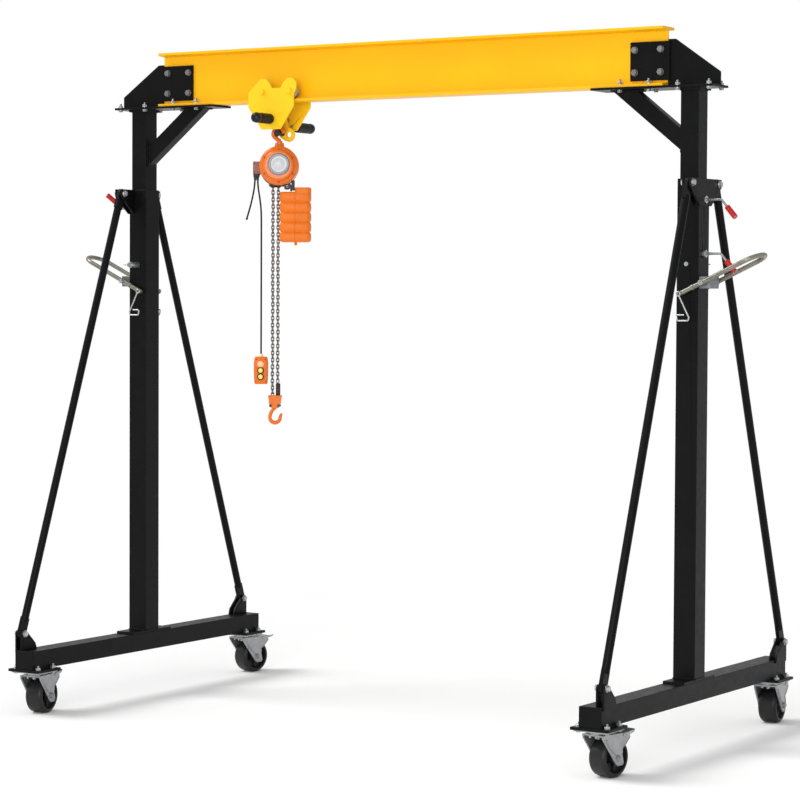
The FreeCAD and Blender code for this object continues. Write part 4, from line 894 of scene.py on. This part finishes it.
def pendant():
    x, top = PENDANT_X, PENDANT_TOP

    def ring(width, depth, z, shift=0.0):
        return rounded(width, depth, 7, z, x + shift, 0)
    body = Form()
    rings = [ring(48, 32, top), ring(54, 37, top - 1.5), ring(58, 40, top - 6), ring(63, 43, top - 24),
             ring(64, 44, top - 30), ring(64, 44, top - 62), ring(62, 43, top - 100), ring(59, 42, top - 118),
             ring(57, 40, top - 123), ring(53, 36, top - PENDANT_LENGTH)]
    body.lofted(HOIST, rings)
    piece = make("pendant_shell", body, "hoist", "pendant_plastic", angle=50)
    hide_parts("pendant")
    collar = Form()
    collar.turned(HOIST @ at(x, 0, top),
                  [(11, -2), (11, 3), (9.5, 4.5), (9, 8), (6.5, 12), (5.2, 13), (4.1, 13)], 32)
    ring_part = make("pendant_collar", collar, "hoist", "pendant_plastic", EXTRAS["cream_plastic"])
    parts = [piece, ring_part]
    darks = Form()
    caps = Form()
    for drop in RUN_BUTTONS:
        place = HOIST @ at(x, -22, top - drop) @ TO_FRONT
        darks.turned(place, [(11.4, 0.5), (12, 4), (13.2, 5), (15.4, 4.6), (16, 0)], 36)
        caps.turned(place, [(0, 7.4), (6, 7.1), (10, 5.6), (11.2, 3), (11.2, 0)], 36)
    rim = make("button_rims", darks, "hoist", "pendant_plastic", EXTRAS["black_steel"])
    yellow = make("run_buttons", caps, "hoist", "pendant_plastic", EXTRAS["yellow_button"])
    stop = Form()
    place = HOIST @ at(x, -22, top - STOP_BUTTON) @ TO_FRONT
    stop.turned(place, [(0, 7.2), (8, 6.8), (13, 5.2), (15, 2.6), (15, 0)], 36)
    peach = make("stop_button", stop, "hoist", "pendant_plastic", EXTRAS["peach_button"])
    screws = Form()
    for sx in (-24, 24):
        for drop in (12, 114):
            place = HOIST @ at(x + sx * (0.86 if drop < 20 else 0.95), -18.5, top - drop) @ TO_FRONT
            screws.turned(place, [(2.6, 0), (2.6, 2.2), (1.9, 3), (0, 3)], 14)
    small = make("pendant_screws", screws, "hoist", "bright_zinc", EXTRAS["dark_casting"])
    return parts + [rim, yellow, peach, small]


pendant_parts = pendant()


BLOCK_TOP, HOOK_BOTTOM, HOOK_RADIUS = -1206, -1337, 24


def lower_block():
    anchor = Form()
    place = HOIST @ at(CHAIN_X + FALL_SPREAD / 2 + 2, 0, BLOCK_TOP - 2)
    anchor.prism(place, [(-10, -6), (-7, -9), (7, -9), (10, -6), (10, 6), (7, 9), (-7, 9), (-10, 6)], 60, 2)
    for height in (16, 42):
        bolt_head(anchor, place @ at(0, -9, height) @ TO_FRONT, 9, 3.5, washer=False)
    make("chain_anchor", anchor, "hoist", "chain_steel", EXTRAS["dark_casting"])
    screws = Form()
    for sign in (-1, 1):
        for face, turn in ((-22, TO_FRONT), (22, TO_Y)):
            screws.turned(HOIST @ at(CHAIN_X + sign * 19, face, BLOCK_TOP - 44) @ turn,
                          [(6.4, 0), (6.4, 4.5), (5.4, 5.6), (3.4, 5.6), (3, 3), (0, 3)], 24)
    make("block_screws", screws, "hoist", "hook_paint", EXTRAS["black_steel"])
    seam = Form()
    seam.prism(HOIST @ at(CHAIN_X, 0, BLOCK_TOP - 3),
               [(-29, -23), (29, -23), (31, -19), (31, 19),
                (29, 23), (-29, 23), (-31, 19), (-31, -19)], 6, 1.6)
    make("block_rim", seam, "hoist", "hook_paint")
    hook = Form()
    base = HOOK_BOTTOM + 8
    path = []
    radii = []
    shank = [(CHAIN_X, BLOCK_TOP - 38), (CHAIN_X, BLOCK_TOP - 62), (CHAIN_X - 6, base + 66),
             (CHAIN_X - 19, base + 48)]
    for (x, z), r in zip(shank, (7.8, 7.8, 8.2, 9.4)):
        path.append((x, 0, z))
        radii.append(r)
    for k in range(13):
        angle = math.radians(165 + 195 * k / 12)
        swell = 1 - abs(k - 6) / 9
        rise = HOOK_RADIUS * math.sin(angle) * (1.0 if angle > math.pi else 0.9)
        path.append((CHAIN_X + HOOK_RADIUS * math.cos(angle), 0, base + HOOK_RADIUS + rise))
        radii.append(8.0 + 1.6 * swell)
    path += [(CHAIN_X + 27, 0, base + 36), (CHAIN_X + 33, 0, base + 44)]
    radii += [6.6, 4.8]
    hook.swept(HOIST, path, radii, 14)
    piece = make("forged_hook", hook, "load_hook", "hook_paint", subdivide=1, angle=80)
    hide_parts("load_hook")


lower_block()

# ---------------------------------------------------------------- light and floor
def light(name, place, target, size, power, colour=(1, 1, 1)):
    data = bpy.data.lights.new(name, "AREA")
    data.shape = "RECTANGLE"
    data.size, data.size_y = size
    data.energy = power
    data.color = colour
    lamp = bpy.data.objects.new(name, data)
    bpy.context.scene.collection.objects.link(lamp)
    lamp.location = place
    lamp.rotation_euler = (Vector(target) - Vector(place)).to_track_quat("-Z", "Y").to_euler()


def backdrop():
    """A plain white dome far behind everything, seen by the camera and casting no light."""
    shape = bmesh.new()
    bmesh.ops.create_uvsphere(shape, u_segments=48, v_segments=24, radius=DOME_RADIUS)
    data = bpy.data.meshes.new("backdrop")
    shape.to_mesh(data)
    shape.free()
    dome = bpy.data.objects.new("backdrop", data)
    bpy.context.scene.collection.objects.link(dome)
    paper = bpy.data.materials.new("backdrop_paper")
    paper.use_nodes = True
    tree = paper.node_tree
    glow = tree.nodes.new("ShaderNodeEmission")
    tree.links.new(glow.outputs[0], tree.nodes["Material Output"].inputs["Surface"])
    dress(dome, paper)
    dome.visible_diffuse = False
    dome.visible_glossy = False
    dome.visible_transmission = False
    dome.visible_shadow = False


def floor_paint():
    """Pale floor paint that goes over to the backdrop's white with distance."""
    paint = finish("floor_paint", (0.93, 0.93, 0.93), 0.6, specular=0.0, vary=0.004, patch=0.6, relief=0.02,
                   grain=60)
    tree = paint.node_tree
    place = tree.nodes.new("ShaderNodeTexCoord")
    reach = tree.nodes.new("ShaderNodeVectorMath")
    reach.operation = "LENGTH"
    fade = tree.nodes.new("ShaderNodeMapRange")
    fade.inputs["From Min"].default_value = FADE_START
    fade.inputs["From Max"].default_value = FADE_END
    glow = tree.nodes.new("ShaderNodeEmission")
    blend = tree.nodes.new("ShaderNodeMixShader")
    tree.links.new(place.outputs["Object"], reach.inputs[0])
    tree.links.new(reach.outputs["Value"], fade.inputs["Value"])
    tree.links.new(fade.outputs["Result"], blend.inputs[0])
    tree.links.new(tree.nodes["Principled BSDF"].outputs[0], blend.inputs[1])
    tree.links.new(glow.outputs[0], blend.inputs[2])
    tree.links.new(blend.outputs[0], tree.nodes["Material Output"].inputs["Surface"])
    return paint


FLOOR_HALF, DOME_RADIUS = 60, 70
FADE_START, FADE_END = 3.2, 7.0
WORLD_STRENGTH, SUN_STRENGTH, SUN_SPREAD, FRONT_POWER = 0.62, 1.75, 30, 420


def studio():
    world = bpy.data.worlds.new("studio")
    world.use_nodes = True
    world.node_tree.nodes["Background"].inputs["Color"].default_value = (1, 1, 1, 1)
    world.node_tree.nodes["Background"].inputs["Strength"].default_value = WORLD_STRENGTH
    bpy.context.scene.world = world
    data = bpy.data.lights.new("key", "SUN")
    data.energy = SUN_STRENGTH
    data.angle = math.radians(SUN_SPREAD)
    key = bpy.data.objects.new("key", data)
    bpy.context.scene.collection.objects.link(key)
    key.rotation_euler = Vector((0.62, 0.30, -0.80)).to_track_quat("-Z", "Y").to_euler()
    light("front", (3.2, -9.5, 3.2), (0, 0, 1.7), (6, 4), FRONT_POWER)
    size = FLOOR_HALF
    data = bpy.data.meshes.new("floor")
    data.from_pydata([(-size, -size, 0), (size, -size, 0), (size, size, 0), (-size, size, 0)], [],
                     [(0, 1, 2, 3)])
    floor = bpy.data.objects.new("floor", data)
    bpy.context.scene.collection.objects.link(floor)
    dress(floor, floor_paint())
    backdrop()


studio()
scene = bpy.context.scene
scene.view_settings.view_transform = "Standard"
scene.view_settings.look = "None"

bpy.context.view_layer.update()
